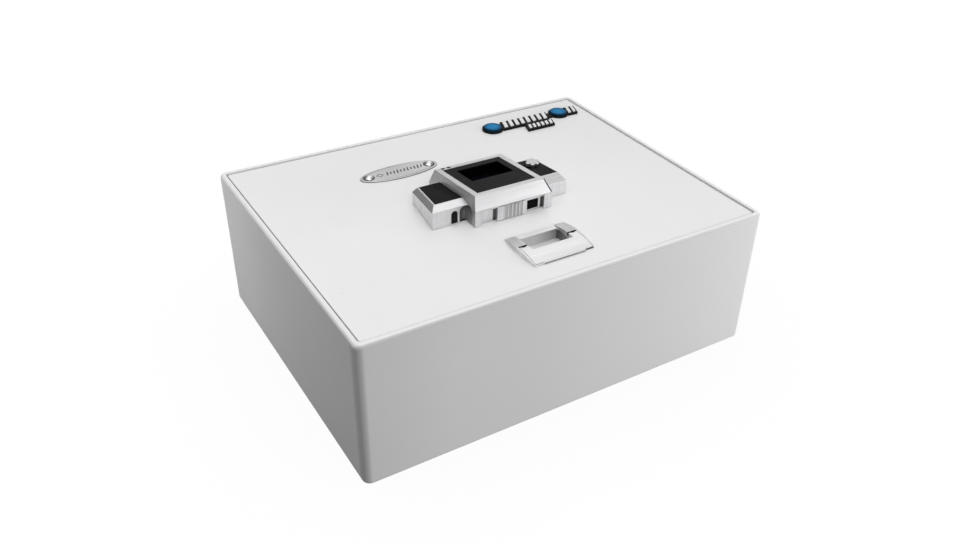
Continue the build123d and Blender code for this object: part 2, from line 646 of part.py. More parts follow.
with BuildPart() as module_gasket:
    with BuildSketch(Plane.XY.offset(LID_TOP + 0.02)):
        rect_between(HOUSING_LEFT + 1, HOUSING_RIGHT - 1, HOUSING_FRONT + 4.8, HOUSING_BACK - 1)
        rect_between(-66.0, WING_RIGHT - 1, WING_FRONT + 2, WING_BACK - 1)
        with BuildLine():
            Polyline((WING_LEFT + 1.2, WING_FRONT + 2), (-60, WING_FRONT + 2),
                     (-60, WING_BACK - 1), (WING_LEFT_BACK + 1, WING_BACK - 1), close=True)
        make_face()
        rectangles(56, 42, OPENING_AT, mode=Mode.SUBTRACT)
        circles(5.4, KNOB, mode=Mode.SUBTRACT)
        circles(KEY_HOLE_R, KEY, mode=Mode.SUBTRACT)
        circles(MODULE_HOLE_R, *MODULE_SCREWS, mode=Mode.SUBTRACT)
    extrude(amount=0.35)
save(module_gasket.part, "module_gasket")

save_screws("module_screws", [(x, y, LID_UNDER - 0.02) for x, y in MODULE_SCREWS],
            head_r=3.6, head_h=2.2, shank_r=1.6, shank_top=147.3)

# ================================================================ MODULE TOP
# black window plate with finger well
with BuildPart() as scanner_bezel:
    with BuildSketch(HOUSING_TOP.offset(-1.35)):
        slope_rect(*PLATE)
    extrude(amount=1.25)
    with BuildSketch(HOUSING_TOP.offset(-1.3)):
        slope_rect(*grown(WELL, 1.5))
    extrude(amount=-10.2)
    with BuildSketch(HOUSING_TOP):
        slope_rect(*WELL)
    extrude(amount=-10, mode=Mode.SUBTRACT)
    # sensor opening in the well's bottom
    SENSOR_OPENING = (-10, 9, -7, 14)
    with BuildSketch(HOUSING_TOP):
        slope_rect(*SENSOR_OPENING)
    extrude(amount=-20, mode=Mode.SUBTRACT)
save(scanner_bezel.part, "scanner_bezel")

with BuildPart() as fingerprint_sensor:
    with BuildSketch(HOUSING_TOP.offset(-14.5)):
        slope_rect(*grown(SENSOR_OPENING, -0.05))
    extrude(amount=5.0)
save(fingerprint_sensor.part, "fingerprint_sensor")

with BuildPart() as status_lights:
    for light in LIGHTS:
        with BuildSketch(HOUSING_TOP.offset(-2.9)):
            circles(1.28, light)
        extrude(amount=3.1)
save(status_lights.part, "status_lights")

KNOB_ON_SLOPE = (KNOB[0], along_slope(KNOB[1]))
with BuildPart() as right_inlay:
    with BuildSketch(WING_TOP.offset(-1.07)):
        slope_rect(30, 62.5, -24.4, 17.4)
        circles(5.2, KNOB_ON_SLOPE, mode=Mode.SUBTRACT)
    extrude(amount=1.05)
    # shallow round seat under the knob
    with BuildSketch(WING_TOP.offset(-0.75)):
        circles(7.7, KNOB_ON_SLOPE)
    extrude(amount=2, mode=Mode.SUBTRACT)
    add(housing_form, mode=Mode.SUBTRACT)
save(right_inlay.part, "right_inlay")

# key lock cover: a flap in front of a fixed rear strip, parted at FLAP_Y
FLAP_Y = 14.45


def cover_plate(y0, y1):
    """Plate in the left wing's pocket between y0 and y1, clear of the scanner housing."""
    with BuildPart() as plate:
        with BuildSketch(WING_TOP.offset(-1.43)):
            with BuildLine():
                Polyline(*cover_outline(-68.2, y0, y1), close=True)
            make_face()
        extrude(amount=1.4)
    limit = slab(-90, -40.95, -60, 60, 140, 175)
    return largest_solid((plate.part & limit) - housing_form)


save(cover_plate(-25.0, FLAP_Y - 0.05), "key_cover")
save(cover_plate(FLAP_Y + 0.05, 17.4), "key_cover_strip")

# ================================================================ BACKUP KEY LOCK
KEY_PANEL_Z = slope_z(KEY_Y, WING_TOP_Z)     # wing surface height at the key lock
CYLINDER_Z = 117
CORE_Z, CORE_TOP_Z = 116.2, KEY_PANEL_Z - 3.5

with BuildPart() as key_cylinder:
    with BuildSketch(Plane.XY.offset(CYLINDER_Z)):
        circles(8.5, KEY)
        circles(6.05, KEY, mode=Mode.SUBTRACT)
    extrude(amount=KEY_PANEL_Z - 3.2 - CYLINDER_Z)
    # collar under the lid
    with BuildSketch(Plane.XY.offset(LID_UNDER - 2.5)):
        circles(11.5, KEY)
        circles(8.4, KEY, mode=Mode.SUBTRACT)
    extrude(amount=2.45)
save(key_cylinder.part, "key_cylinder")

with BuildPart() as key_core:
    with BuildSketch(Plane.XY.offset(CORE_Z)):
        circles(6.0, KEY)
    extrude(amount=CORE_TOP_Z - CORE_Z)
    # keyway
    with BuildSketch(Plane.XY.offset(CORE_TOP_Z)):
        rectangles(1.6, 8.2, KEY)
    extrude(amount=-22, mode=Mode.SUBTRACT)
save(key_core.part, "key_core")

CAM_Z, CAM_REACH, CAM_W = 114, 14, 7
with BuildPart() as key_cam:
    with BuildSketch(Plane.XY.offset(CAM_Z)):
        circles(6.6, KEY)
        rectangles(CAM_REACH, CAM_W, (KEY_X + CAM_REACH / 2, KEY_Y))
        circles(CAM_W / 2, (KEY_X + CAM_REACH, KEY_Y))
    extrude(amount=2.15)
    with BuildSketch(Plane.XY.offset(CAM_Z)):
        with Locations(KEY):
            RegularPolygon(3.6, 6)
    extrude(amount=-1.8)
save(key_cam.part, "key_cam")

# release switch behind the key lock: case, push button, hanger
with BuildPart() as release_switch:
    with BuildSketch(Plane.XY.offset(111.5)):
        rectangles(16, 10, (KEY_X, KEY_Y + 24.5))
    extrude(amount=6.5)
    with BuildSketch(Plane.XY.offset(113.5)):
        rectangles(2.4, 1.8, (KEY_X, KEY_Y + 18.7))
    extrude(amount=3)
    with BuildSketch(Plane.XY.offset(118)):
        rectangles(16, 1.6, (KEY_X, KEY_Y + 25))
    extrude(amount=MOUNT_Z - 118)
save(release_switch.part, "release_switch")

# ================================================================ KNOB, PINION AND RACK
# turn knob: six soft lobes, one shaft down to the pinion
KNOB_PANEL_Z = slope_z(KNOB[1], WING_TOP_Z)  # wing surface height under the knob
SHAFT_Z, SHAFT_R = 113.0, 3.0

with BuildPart() as turn_knob:
    with BuildSketch(Plane.XY.offset(KNOB_PANEL_Z + 0.4)):
        with Locations(KNOB):
            Circle(5.4)
            with PolarLocations(4.9, 6):
                Circle(2.25)
    extrude(amount=4.2)
    fillet(turn_knob.edges().group_by(Axis.Z)[-1], 0.8)
    with BuildSketch(Plane.XY.offset(SHAFT_Z)):
        circles(SHAFT_R, KNOB)
    extrude(amount=KNOB_PANEL_Z + 1.3 - SHAFT_Z)
save(turn_knob.part, "turn_knob")

BUSHING_Z, BUSHING_FLANGE_Z = 130, 134.9
with BuildPart() as knob_bushing:
    with BuildSketch(Plane.XY.offset(BUSHING_Z)):
        circles(5.0, KNOB)
        circles(SHAFT_R + 0.05, KNOB, mode=Mode.SUBTRACT)
    extrude(amount=KNOB_PANEL_Z + 0.2 - BUSHING_Z)
    with BuildSketch(Plane.XY.offset(BUSHING_FLANGE_Z)):
        circles(8, KNOB)
        circles(4.9, KNOB, mode=Mode.SUBTRACT)
    extrude(amount=MOUNT_Z - BUSHING_FLANGE_Z)
save(knob_bushing.part, "knob_bushing")

GEAR_MODULE = 1.0
TEETH = 12
PINION_R = TEETH * GEAR_MODULE / 2           # pitch radius
PRESSURE_ANGLE = radians(20)
BACKLASH = 0.10                              # tooth thinning at the pitch line, each member
DEDENDUM = 1.15                              # both members
PINION_ADDENDUM, RACK_ADDENDUM = 0.9, 0.7
TOOTH_PITCH = pi * GEAR_MODULE


def involute(angle):
    return tan(angle) - angle


def pinion_outline():
    """Involute outline about the origin, tooth by tooth; flanks run straight to the root."""
    base_r = PINION_R * cos(PRESSURE_ANGLE)
    tip_r = PINION_R + PINION_ADDENDUM
    half_tooth = (TOOTH_PITCH / 2 - BACKLASH) / (2 * PINION_R)
    flank = []                               # (radius, half angle of the tooth)
    for step in range(7):
        radius = base_r + (tip_r - base_r) * step / 6
        roll = acos(min(1.0, base_r / radius))
        flank.append((radius, half_tooth + involute(PRESSURE_ANGLE) - involute(roll)))
    flank.insert(0, (PINION_R - DEDENDUM, flank[0][1]))
    points = []
    for tooth in range(TEETH):
        middle = 2 * pi * tooth / TEETH + pi
        points += [(r * cos(middle - a), r * sin(middle - a)) for r, a in flank]
        points += [(r * cos(middle + a), r * sin(middle + a)) for r, a in reversed(flank)]
    return points


PINION_Z, PINION_H, HUB_H = 113.6, 7.4, 4.5
with BuildPart() as knob_pinion:
    with BuildSketch(Plane((*KNOB, PINION_Z))):
        with BuildLine():
            Polyline(*pinion_outline(), close=True)
        make_face()
        Circle(SHAFT_R + 0.02, mode=Mode.SUBTRACT)
    extrude(amount=PINION_H)
    with BuildSketch(Plane.XY.offset(PINION_Z + PINION_H)):
        circles(5.2, KNOB)
        circles(SHAFT_R + 0.02, KNOB, mode=Mode.SUBTRACT)
    extrude(amount=HUB_H)
save(knob_pinion.part, "knob_pinion")

RACK_BACK_X = 38.0                           # plain left edge
RACK_PITCH_X = KNOB[0] - PINION_R
RACK_ROOT_X, RACK_TIP_X = RACK_PITCH_X - DEDENDUM, RACK_PITCH_X + RACK_ADDENDUM
RACK_FRONT, RACK_END = -97.9, 26.0
SOLENOID_Y, SOLENOID_Z = -40.0, 117
RACK_SCREW_YS = (-92, -74)
RACK_SCREWS = [(41.6, y) for y in RACK_SCREW_YS]
RACK_HOLE_R = 1.62


def rack_outline():
    """Straight bar with ten teeth on its right side."""
    half_tooth = TOOTH_PITCH / 4 - BACKLASH / 2      # at the pitch line
    half_root = half_tooth + DEDENDUM * tan(PRESSURE_ANGLE)
    half_tip = half_tooth - RACK_ADDENDUM * tan(PRESSURE_ANGLE)
    points = [(RACK_BACK_X, RACK_FRONT), (RACK_ROOT_X, RACK_FRONT)]
    for tooth in range(10):
        y = KNOB[1] + (tooth - 2.5) * TOOTH_PITCH
        points += [(RACK_ROOT_X, y - half_root), (RACK_TIP_X, y - half_tip),
                   (RACK_TIP_X, y + half_tip), (RACK_ROOT_X, y + half_root)]
    return points + [(RACK_ROOT_X, RACK_END), (RACK_BACK_X, RACK_END)]


with BuildPart() as bolt_rack:
    with BuildSketch(Plane.XY.offset(114.55)):
        with BuildLine():
            Polyline(*rack_outline(), close=True)
        make_face()
        # two notches for the solenoid plunger, one bolt stroke apart
        rectangles(7.2, 5.5, (RACK_BACK_X, SOLENOID_Y), (RACK_BACK_X, SOLENOID_Y + STROKE),
                   mode=Mode.SUBTRACT)
        circles(RACK_HOLE_R, *RACK_SCREWS, mode=Mode.SUBTRACT)
    extrude(amount=5)
save(bolt_rack.part, "bolt_rack")

# block that backs the rack against the pinion and carries it
GUIDE_Z = 112
with BuildPart() as rack_guide:
    with BuildSketch(Plane.XY.offset(GUIDE_Z)):
        rectangles(4.6, 30, (35.6, 4))
    extrude(amount=MOUNT_Z - GUIDE_Z)
    with BuildSketch(Plane.XY.offset(GUIDE_Z)):
        rectangles(9.4, 30, (38, 4))
    extrude(amount=2.4)
save(rack_guide.part, "rack_guide")

# ================================================================ LOCKING BOLTS
BAR_FRONT, BAR_T = -112.0, 3                 # cross bar: front face and thickness
BOLT_HOLE_R = 2.53                           # screw holes in bar and bolts
TONGUE_Z = 111.5                             # underside of the bar's tongue below the rack
TONGUE_T = 3

with BuildPart() as bolt_bar:
    with BuildSketch(front_plane(BAR_FRONT)):
        rectangles(264, 13, (0, 117.5))
    extrude(amount=-BAR_T)
    with BuildSketch(Plane.XY.offset(TONGUE_Z)):
        rectangles(8, 42, (41.4, -90))
        circles(RACK_HOLE_R, *RACK_SCREWS, mode=Mode.SUBTRACT)
    extrude(amount=TONGUE_T)
    with BuildSketch(front_plane(BAR_FRONT - 2)):
        circles(BOLT_HOLE_R, *BOLTS)
    extrude(amount=-8, mode=Mode.SUBTRACT)
save(bolt_bar.part, "bolt_bar")

BOLT_END = BAR_FRONT - FIT                   # rear face of the bolts
with BuildPart() as locking_bolts:
    for bolt in BOLTS:
        with BuildSketch(front_plane(BOLT_END)):
            circles(BOLT_R, bolt)
        extrude(amount=BOLT_END - BOLT_TIP)
    fillet(locking_bolts.edges().filter_by(GeomType.CIRCLE).group_by(Axis.Y)[0], 1.5)
    for bolt in BOLTS:
        with BuildSketch(front_plane(BOLT_END)):
            circles(BOLT_HOLE_R, bolt)
        extrude(amount=10, mode=Mode.SUBTRACT)
save(locking_bolts.part, "locking_bolts")

# hex socket screws behind the bar, small screws below the tongue
BOLT_HEAD_Y, BOLT_HEAD_T = BAR_FRONT + BAR_T + FIT, 3
with BuildPart() as bolt_screws:
    for bolt in BOLTS:
        with BuildSketch(front_plane(BOLT_HEAD_Y)):
            circles(4.4, bolt)
        extrude(amount=-BOLT_HEAD_T)
        with BuildSketch(front_plane(-108.9)):
            circles(2.5, bolt)
        extrude(amount=11)
        with BuildSketch(front_plane(BOLT_HEAD_Y + BOLT_HEAD_T)):
            with Locations(bolt):
                RegularPolygon(2.1, 6)
        extrude(amount=1.6, mode=Mode.SUBTRACT)
    for screw in RACK_SCREWS:
        with BuildSketch(Plane.XY.offset(TONGUE_Z - FIT)):
            circles(2.8, screw)
        extrude(amount=-1.1)
        with BuildSketch(Plane.XY.offset(TONGUE_Z - 0.1)):
            circles(1.6, screw)
        extrude(amount=7)
save(bolt_screws.part, "bolt_screws")

# bracket that guides the bolts, screwed under the lid
GUIDE_FRONT = -132                           # front face of the bracket
BRACKET_SCREWS = [(50, -122), (120, -122), (-50, -122), (-120, -122)]
BRACKET_FLANGE_T = 2
SCREW_HOLE_R = 2.03                          # in bracket flanges and inner cover ears
with BuildPart() as bolt_bracket:
    with BuildSketch(front_plane(GUIDE_FRONT)):
        rect_between(-148, 148, COVER_Z, MOUNT_Z)
        circles(6.73, *BOLTS, mode=Mode.SUBTRACT)
    extrude(amount=-2.5)
    with BuildSketch(Plane.XY.offset(MOUNT_Z - BRACKET_FLANGE_T)):
        rectangles(118, 13.1, (85, -123), (-85, -123))
        circles(SCREW_HOLE_R, *BRACKET_SCREWS, mode=Mode.SUBTRACT)
    extrude(amount=BRACKET_FLANGE_T)
save(bolt_bracket.part, "bolt_bracket")

with BuildPart() as bolt_bushings:
    for bolt in BOLTS:
        with BuildSketch(front_plane(-133.6)):
            circles(6.7, bolt)
            circles(BOLT_R + 0.05, bolt, mode=Mode.SUBTRACT)
        extrude(amount=-8.6)
        with BuildSketch(front_plane(GUIDE_FRONT - 0.02)):
            circles(7.9, bolt)
            circles(6.6, bolt, mode=Mode.SUBTRACT)
        extrude(amount=1.5)
save(bolt_bushings.part, "bolt_bushings")

# ================================================================ SOLENOID
SOLENOID_AXIS = (SOLENOID_Y, SOLENOID_Z)     # in side planes
SOLENOID_W, HANGER_Z = 15, 123
PLUNGER_R, PLUNGER_X, PLUNGER_LENGTH = 3.0, 2, 31.2

with BuildPart() as solenoid:
    with BuildSketch(side_plane(10)):
        rectangles(SOLENOID_W, 13, SOLENOID_AXIS)
        circles(PLUNGER_R + 0.05, SOLENOID_AXIS, mode=Mode.SUBTRACT)
    extrude(amount=24)
    with BuildSketch(Plane.XY.offset(HANGER_Z)):
        rectangles(4, SOLENOID_W, (13, SOLENOID_Y), (24, SOLENOID_Y))
    extrude(amount=MOUNT_Z - HANGER_Z)
save(solenoid.part, "solenoid")

# plunger, its thinner tip on the right and its end disc on the left
with BuildPart() as solenoid_plunger:
    with BuildSketch(side_plane(PLUNGER_X)):
        circles(PLUNGER_R, SOLENOID_AXIS)
    extrude(amount=PLUNGER_LENGTH)
    with BuildSketch(side_plane(PLUNGER_X + PLUNGER_LENGTH)):
        circles(2.4, SOLENOID_AXIS)
    extrude(amount=3.8)
    with BuildSketch(side_plane(PLUNGER_X)):
        circles(5.2, SOLENOID_AXIS)
    extrude(amount=1.6)
save(solenoid_plunger.part, "solenoid_plunger")

# ================================================================ ELECTRONICS
BOARD_Z, BOARD_T = 127, 1.6
BUTTON = (-14.0, -32.0)

with BuildPart() as circuit_board:
    with BuildSketch(Plane.XY.offset(BOARD_Z)):
        rectangles(44, 66, (-15, -28))
    extrude(amount=BOARD_T)
    # chips on the underside
    with BuildSketch(Plane.XY.offset(BOARD_Z)):
        rectangles(12, 12, (-24, -45))
        rectangles(9, 16, (-12, -13))
        rectangles(6, 5, (1, -8))
    extrude(amount=-1.8)
    # standoffs up to the lid
    with BuildSketch(Plane.XY.offset(BOARD_Z + BOARD_T)):
        circles(2.6, (-33, -58), (3, -58), (-33, -24), (3, -24))
    extrude(amount=MOUNT_Z - BOARD_Z - BOARD_T)
save(circuit_board.part, "circuit_board")

with BuildPart() as learn_button:
    with BuildSketch(Plane.XY.offset(COVER_Z - 0.8)):
        circles(4, BUTTON)
    extrude(amount=12)
    with BuildSketch(Plane.XY.offset(COVER_Z + 3.2)):
        circles(5.2, BUTTON)
    extrude(amount=1.5)
save(learn_button.part, "learn_button")

with BuildPart() as button_switch:
    with BuildSketch(Plane.XY.offset(122)):
        rectangles(12, 12, BUTTON)
    extrude(amount=4.95)
save(button_switch.part, "button_switch")

# battery box, four round cells side by side, door below
BATTERY = BATTERY_X, BATTERY_Y = (-112.0, -30.0)
BOX_Z = 112
BOX_CAVITY_TOP_Z = 129                       # bottom of the hollow above the cells
with BuildPart() as battery_box:
    with BuildSketch(Plane.XY.offset(BOX_Z)):
        rectangles(58, 66, BATTERY)
    extrude(amount=MOUNT_Z - BOX_Z)
    with BuildSketch(Plane.XY.offset(BOX_Z)):
        rectangles(52.5, 60.5, BATTERY)
    extrude(amount=15.5, mode=Mode.SUBTRACT)
    with BuildSketch(Plane.XY.offset(BOX_CAVITY_TOP_Z)):
        rectangles(50, 58, BATTERY)
    extrude(amount=LID_UNDER - BOX_CAVITY_TOP_Z, mode=Mode.SUBTRACT)
save(battery_box.part, "battery_box")

CELL_R, CELL_LENGTH, CELL_PITCH, CELL_Z = 7.15, 48.5, 14.8, 119.9
CELL_X = BATTERY_X - 25                      # left end of the cells
with BuildPart() as batteries:
    for index in range(4):
        cell = (BATTERY_Y + (index - 1.5) * CELL_PITCH, CELL_Z)
        with BuildSketch(side_plane(CELL_X)):
            circles(CELL_R, cell)
        extrude(amount=CELL_LENGTH)
        with BuildSketch(side_plane(CELL_X + CELL_LENGTH)):
            circles(2.7, cell)
        extrude(amount=1.2)
save(batteries.part, "batteries")

DOOR_PANEL_Z = COVER_Z - 0.2                 # visible face of the door
with BuildPart() as battery_door:
    with BuildSketch(Plane.XY.offset(COVER_Z + 1.3)):
        rectangles(62, 68, BATTERY)
    extrude(amount=1.5)
    with BuildSketch(Plane.XY.offset(DOOR_PANEL_Z)):
        rectangles(50, 58, BATTERY)
    extrude(amount=1.6)
    # five grip grooves
    with BuildSketch(Plane.XY.offset(DOOR_PANEL_Z)):
        for index in range(5):
            rectangles(1.2, 22, (BATTERY_X + 14 + 2.6 * index, BATTERY_Y))
    extrude(amount=0.6, mode=Mode.SUBTRACT)
save(battery_door.part, "battery_door")

# cable from the battery box to the board
CABLE_POINTS = [(-82.95, -30, 130.5), (-70, -31, 131.6), (-52, -33, 131.0), (-36.6, -34, 130.05)]
with BuildPart() as cable:
    with BuildLine() as cable_run:
        Spline(*CABLE_POINTS, tangents=[(1, 0, 0), (1, 0, 0)])
    with BuildSketch(side_plane(*CABLE_POINTS[0])):
        Circle(1.4)
    sweep(path=cable_run.line)
save(cable.part, "cable")

# ================================================================ INNER COVER
COVER_W, COVER_D, COVER_Y = 300, 181, -38.5
COVER_T = 1.2
COVER_TOP = 137.9
REAR_EAR_XS, REAR_EAR_Y = (-120, 0, 120), 59.5       # screws in the rear ears
SIDE_EAR_XS, SIDE_EAR_Y = (-157, 157), -80           # screws in the side ears
EAR_SCREWS = [*[(x, REAR_EAR_Y) for x in REAR_EAR_XS], *[(x, SIDE_EAR_Y) for x in SIDE_EAR_XS]]

with BuildPart() as inner_cover:
    with BuildSketch(Plane.XY.offset(COVER_Z)):
        rectangles(COVER_W, COVER_D, (0, COVER_Y))
    extrude(amount=COVER_TOP - COVER_Z)
    fillet(inner_cover.edges().filter_by(Axis.Z).sort_by(Axis.Y)[-2:], 5)
    with BuildSketch(Plane.XY.offset(COVER_Z + COVER_T)):
        rectangles(COVER_W - 2 * COVER_T, COVER_D, (0, COVER_Y - COVER_T))
    extrude(amount=40, mode=Mode.SUBTRACT)
    # trim at the open front, which the bolt bracket closes
    with BuildSketch(Plane.XY.offset(COVER_Z - 1)):
        rectangles(COVER_W + 2, 0.8, (0, -129.35))
    extrude(amount=40, mode=Mode.SUBTRACT)
    # screw ears
    with BuildSketch(Plane.XY.offset(COVER_TOP - COVER_T)):
        with Locations(*[(x, REAR_EAR_Y - 1) for x in REAR_EAR_XS]):
            RectangleRounded(16, 13.2, 2)
        with Locations((-156, SIDE_EAR_Y), (156, SIDE_EAR_Y)):
            RectangleRounded(13.2, 16, 2)
        circles(SCREW_HOLE_R, *EAR_SCREWS, mode=Mode.SUBTRACT)
    extrude(amount=COVER_T)
    # button hole, battery door opening with room for its travel
    with BuildSketch(Plane.XY.offset(COVER_Z)):
        circles(4.15, BUTTON)
        rectangles(70.6, 58.4, (BATTERY_X + 10, BATTERY_Y))
    extrude(amount=COVER_T, mode=Mode.SUBTRACT)
save(inner_cover.part, "inner_cover")

save_screws("cover_screws",
            [(x, y, 136.68) for x, y in EAR_SCREWS] + [(x, y, 135.93) for x, y in BRACKET_SCREWS],
            head_r=3.7, head_h=2.0, shank_r=2.0, shank_top=MOUNT_Z)

# ================================================================ MODULE FRONT
TERMINAL_Y = RECESS_Y + 1.6                  # face of the terminal block
with BuildPart() as power_terminals:
    with BuildSketch(front_plane(TERMINAL_Y)):
        rectangles(11.8, 9.2, (PORT_X, PORT_Z))
    extrude(amount=-4.6)
    # four contact bars
    for index in range(4):
        with BuildSketch(front_plane(TERMINAL_Y)):
            rectangles(10.4, 0.9, (PORT_X, PORT_Z + 2.1 * (index - 1.5)))
        extrude(amount=1.5)
save(power_terminals.part, "power_terminals")

SLIDER_X0, SLIDER_X1, SLIDER_Z0, SLIDER_Z1 = -18.7, 11.8, 141.0, 154.6
SLIDER_BACK = RECESS_Y - 0.08
BULGE_X = SLIDER_X0 + 6                      # start of the bulged front
with BuildPart() as terminal_cover:
    with BuildSketch(Plane.XY.offset(SLIDER_Z0)):
        with BuildLine():
            Polyline((SLIDER_X0, SLIDER_BACK), (SLIDER_X0, HOUSING_FRONT - 0.1),
                     (BULGE_X, HOUSING_FRONT - 0.4))
            ThreePointArc((BULGE_X, HOUSING_FRONT - 0.4),
                          ((BULGE_X + SLIDER_X1) / 2, HOUSING_FRONT - 1.3),
                          (SLIDER_X1, HOUSING_FRONT - 0.2))
            Polyline((SLIDER_X1, HOUSING_FRONT - 0.2), (SLIDER_X1, SLIDER_BACK),
                     (SLIDER_X0, SLIDER_BACK))
        make_face()
        # finger grooves between the ribs
        for index in range(5):
            circles(1.5, (SLIDER_X0 + 8.6 + 4.0 * index, HOUSING_FRONT - 1.1),
                    mode=Mode.SUBTRACT)
    extrude(amount=SLIDER_Z1 - SLIDER_Z0)
    # tongue in the housing groove
    with BuildSketch(front_plane(RECESS_Y - 0.2)):
        rectangles(SLIDER_X1 - SLIDER_X0, 1.2, ((SLIDER_X0 + SLIDER_X1) / 2, GROOVE_Z))
    extrude(amount=-1.6)
save(terminal_cover.part, "terminal_cover")

with BuildPart() as slot_plug:
    with BuildSketch(front_plane(WING_FRONT + 1.4)):
        arched_opening(SLOT_X, SLOT_ARCH_Z - 9.6, SLOT_ARCH_Z, 3.25)
    extrude(amount=-2.5)
save(slot_plug.part, "slot_plug")

# ================================================================ NAMEPLATE AND BADGE
NAMEPLATE_T = 1.1
with BuildPart() as nameplate:
    with BuildSketch(Plane.XY.offset(LID_TOP + FIT)):
        with Locations((PLATE_X, PLATE_Y)):
            Ellipse(41.0, 13.8)
        circles(RIVET_HOLE_R, *RIVETS, mode=Mode.SUBTRACT)
    extrude(amount=NAMEPLATE_T)
    fillet(nameplate.edges().group_by(Axis.Z)[-1].sort_by(SortBy.LENGTH)[-1], 0.35)
    # fine engraved border
    with BuildSketch(Plane.XY.offset(LID_TOP + FIT + NAMEPLATE_T)):
        with Locations((PLATE_X, PLATE_Y)):
            Ellipse(38.6, 11.6)
            Ellipse(38.0, 11.0, mode=Mode.SUBTRACT)
    extrude(amount=-0.2, mode=Mode.SUBTRACT)
save(nameplate.part, "nameplate")

RIVET_SEAT = 1.15                            # seat of the rivet heads above the lid
RIVET_R = 1.65
RIVET_END = -(RIVET_SEAT + LID_T + 0.6)      # shank end below the seat
with BuildPart() as nameplate_rivets:
    for x, y in RIVETS:
        with BuildSketch(front_plane(y, x, LID_TOP + RIVET_SEAT)):
            with BuildLine():
                ThreePointArc((0, 2.5), (2.6, 1.85), (4.4, 0))
                Polyline((4.4, 0), (RIVET_R, 0), (RIVET_R, RIVET_END), (0, RIVET_END), (0, 2.5))
            make_face()
        revolve(axis=Axis((x, y, 0), (0, 0, 1)))
save(nameplate_rivets.part, "nameplate_rivets")

# plain badge: dark backing that follows two discs and rows of slanted bars
BACKING_T = 2.4
BADGE_Z = LID_TOP + 0.04 + BACKING_T         # underside of discs and bars
DISCS = [(79.3, 119.8), (165.3, 121.2)]
# (x, y, length, width, lean): wide row, two bars at its right end, small row in front
BARS = [(95.0 + 7.2 * index, 120.0, 12.5, 4.2, 4.0) for index in range(8)]
BARS += [(178.4, 120.6, 12.5, 3.4, 4.0), (184.6, 120.6, 12.5, 3.0, 4.0)]
BARS += [(116.5 + 5.3 * index, 103.4, 7.0, 3.1, 2.2) for index in range(6)]


def bar_corners(x, y, length, width, lean):
    """Corners of a slanted bar centred on (x, y)."""
    return [(x - width / 2 - lean / 2, y - length / 2), (x + width / 2 - lean / 2, y - length / 2),
            (x + width / 2 + lean / 2, y + length / 2), (x - width / 2 + lean / 2, y + length / 2)]


with BuildPart() as badge_backing:
    with BuildSketch(Plane.XY.offset(LID_TOP + 0.02)):
        circles(11.2, *DISCS)
        for x, y, length, width, lean in BARS:
            with BuildLine():
                Polyline(*bar_corners(x, y, length + 4.6, width + 4.6, lean + 1.4), close=True)
            make_face()
        rectangles(96, 8, (135, 120))
        rectangles(30, 8, (129.7, 109))
    extrude(amount=BACKING_T)
save(badge_backing.part, "badge_backing")

with BuildPart() as badge_discs:
    for disc in DISCS:
        with BuildSketch(Plane.XY.offset(BADGE_Z)):
            circles(9.6, disc)
        extrude(amount=1.6)
    fillet(badge_discs.edges().group_by(Axis.Z)[-1], 0.7)
save(badge_discs.part, "badge_discs")

with BuildPart() as badge_bars:
    for bar in BARS:
        with BuildSketch(Plane.XY.offset(BADGE_Z)):
            with BuildLine():
                Polyline(*bar_corners(*bar), close=True)
            make_face()
        extrude(amount=1.2)
save(badge_bars.part, "badge_bars")

# ================================================================ FLUSH PULL
PULL_X = 30.6                                # half width at the front and back edges
PULL_BARREL = 1.5                            # outward bow of the sides
PULL_MID = (PULL_FRONT + PULL_BACK) / 2
PULL_TOP, PULL_END = 144.8, 141.9            # arch height in the middle and at its ends
SAG = PULL_TOP - PULL_END
PULL_HALF = (PULL_BACK - PULL_FRONT) / 2
ARCH_R = (PULL_HALF ** 2 + SAG ** 2) / (2 * SAG)
BAIL_Y, BAIL_Z = -104.0, 143.0               # bail hinge axis
BAIL_X = 29.7                                # outer half width of the bail
BAIL_T = 2.7
BAIL_GAP = 0.35                              # clearance around the bail
ARM_X = 21.0                                 # inner half width of its opening
BAR_Y = -111.0                               # inner edge of the bail's front bar
KNUCKLE_R = 1.55                             # at the hinge axis
CUP_FRONT, CUP_BACK = -126.0, -88.0
CUP_DEPTH, CUP_T = 8.5, 1.5
SEAT_Z = LID_TOP + 0.6
CAP_Y = BAIL_Y + KNUCKLE_R + BAIL_GAP        # front edge of the end caps


def arch(radius):
    """Cylinder along X about the axis of the pull's arched surface."""
    return Pos(0, PULL_MID, PULL_TOP - ARCH_R) * (Rot(0, 90, 0) * Cylinder(radius, 90))


def bail_axis_rod(radius, length):
    return Pos(0, BAIL_Y, BAIL_Z) * (Rot(0, 90, 0) * Cylinder(radius, length))


arch_top = arch(ARCH_R)
pull_body = arch_top & slab(-36, 36, PULL_FRONT, PULL_BACK, LID_TOP + 0.02, 150)
bail_space = slab(-BAIL_X - BAIL_GAP, BAIL_X + BAIL_GAP, PULL_FRONT + 0.55, CAP_Y,
                  SEAT_Z, 150) - arch(ARCH_R - BAIL_T - BAIL_GAP)
knuckle_groove = bail_axis_rod(KNUCKLE_R + BAIL_GAP, 2 * (BAIL_X + BAIL_GAP))
rear_cut = slab(-ARM_X, ARM_X, CUP_BACK - 0.5, PULL_BACK + 1, 141.7, 150)
front_cut = slab(-21.3, 35, PULL_FRONT - 1, -128.3, LID_TOP - 1, 150)

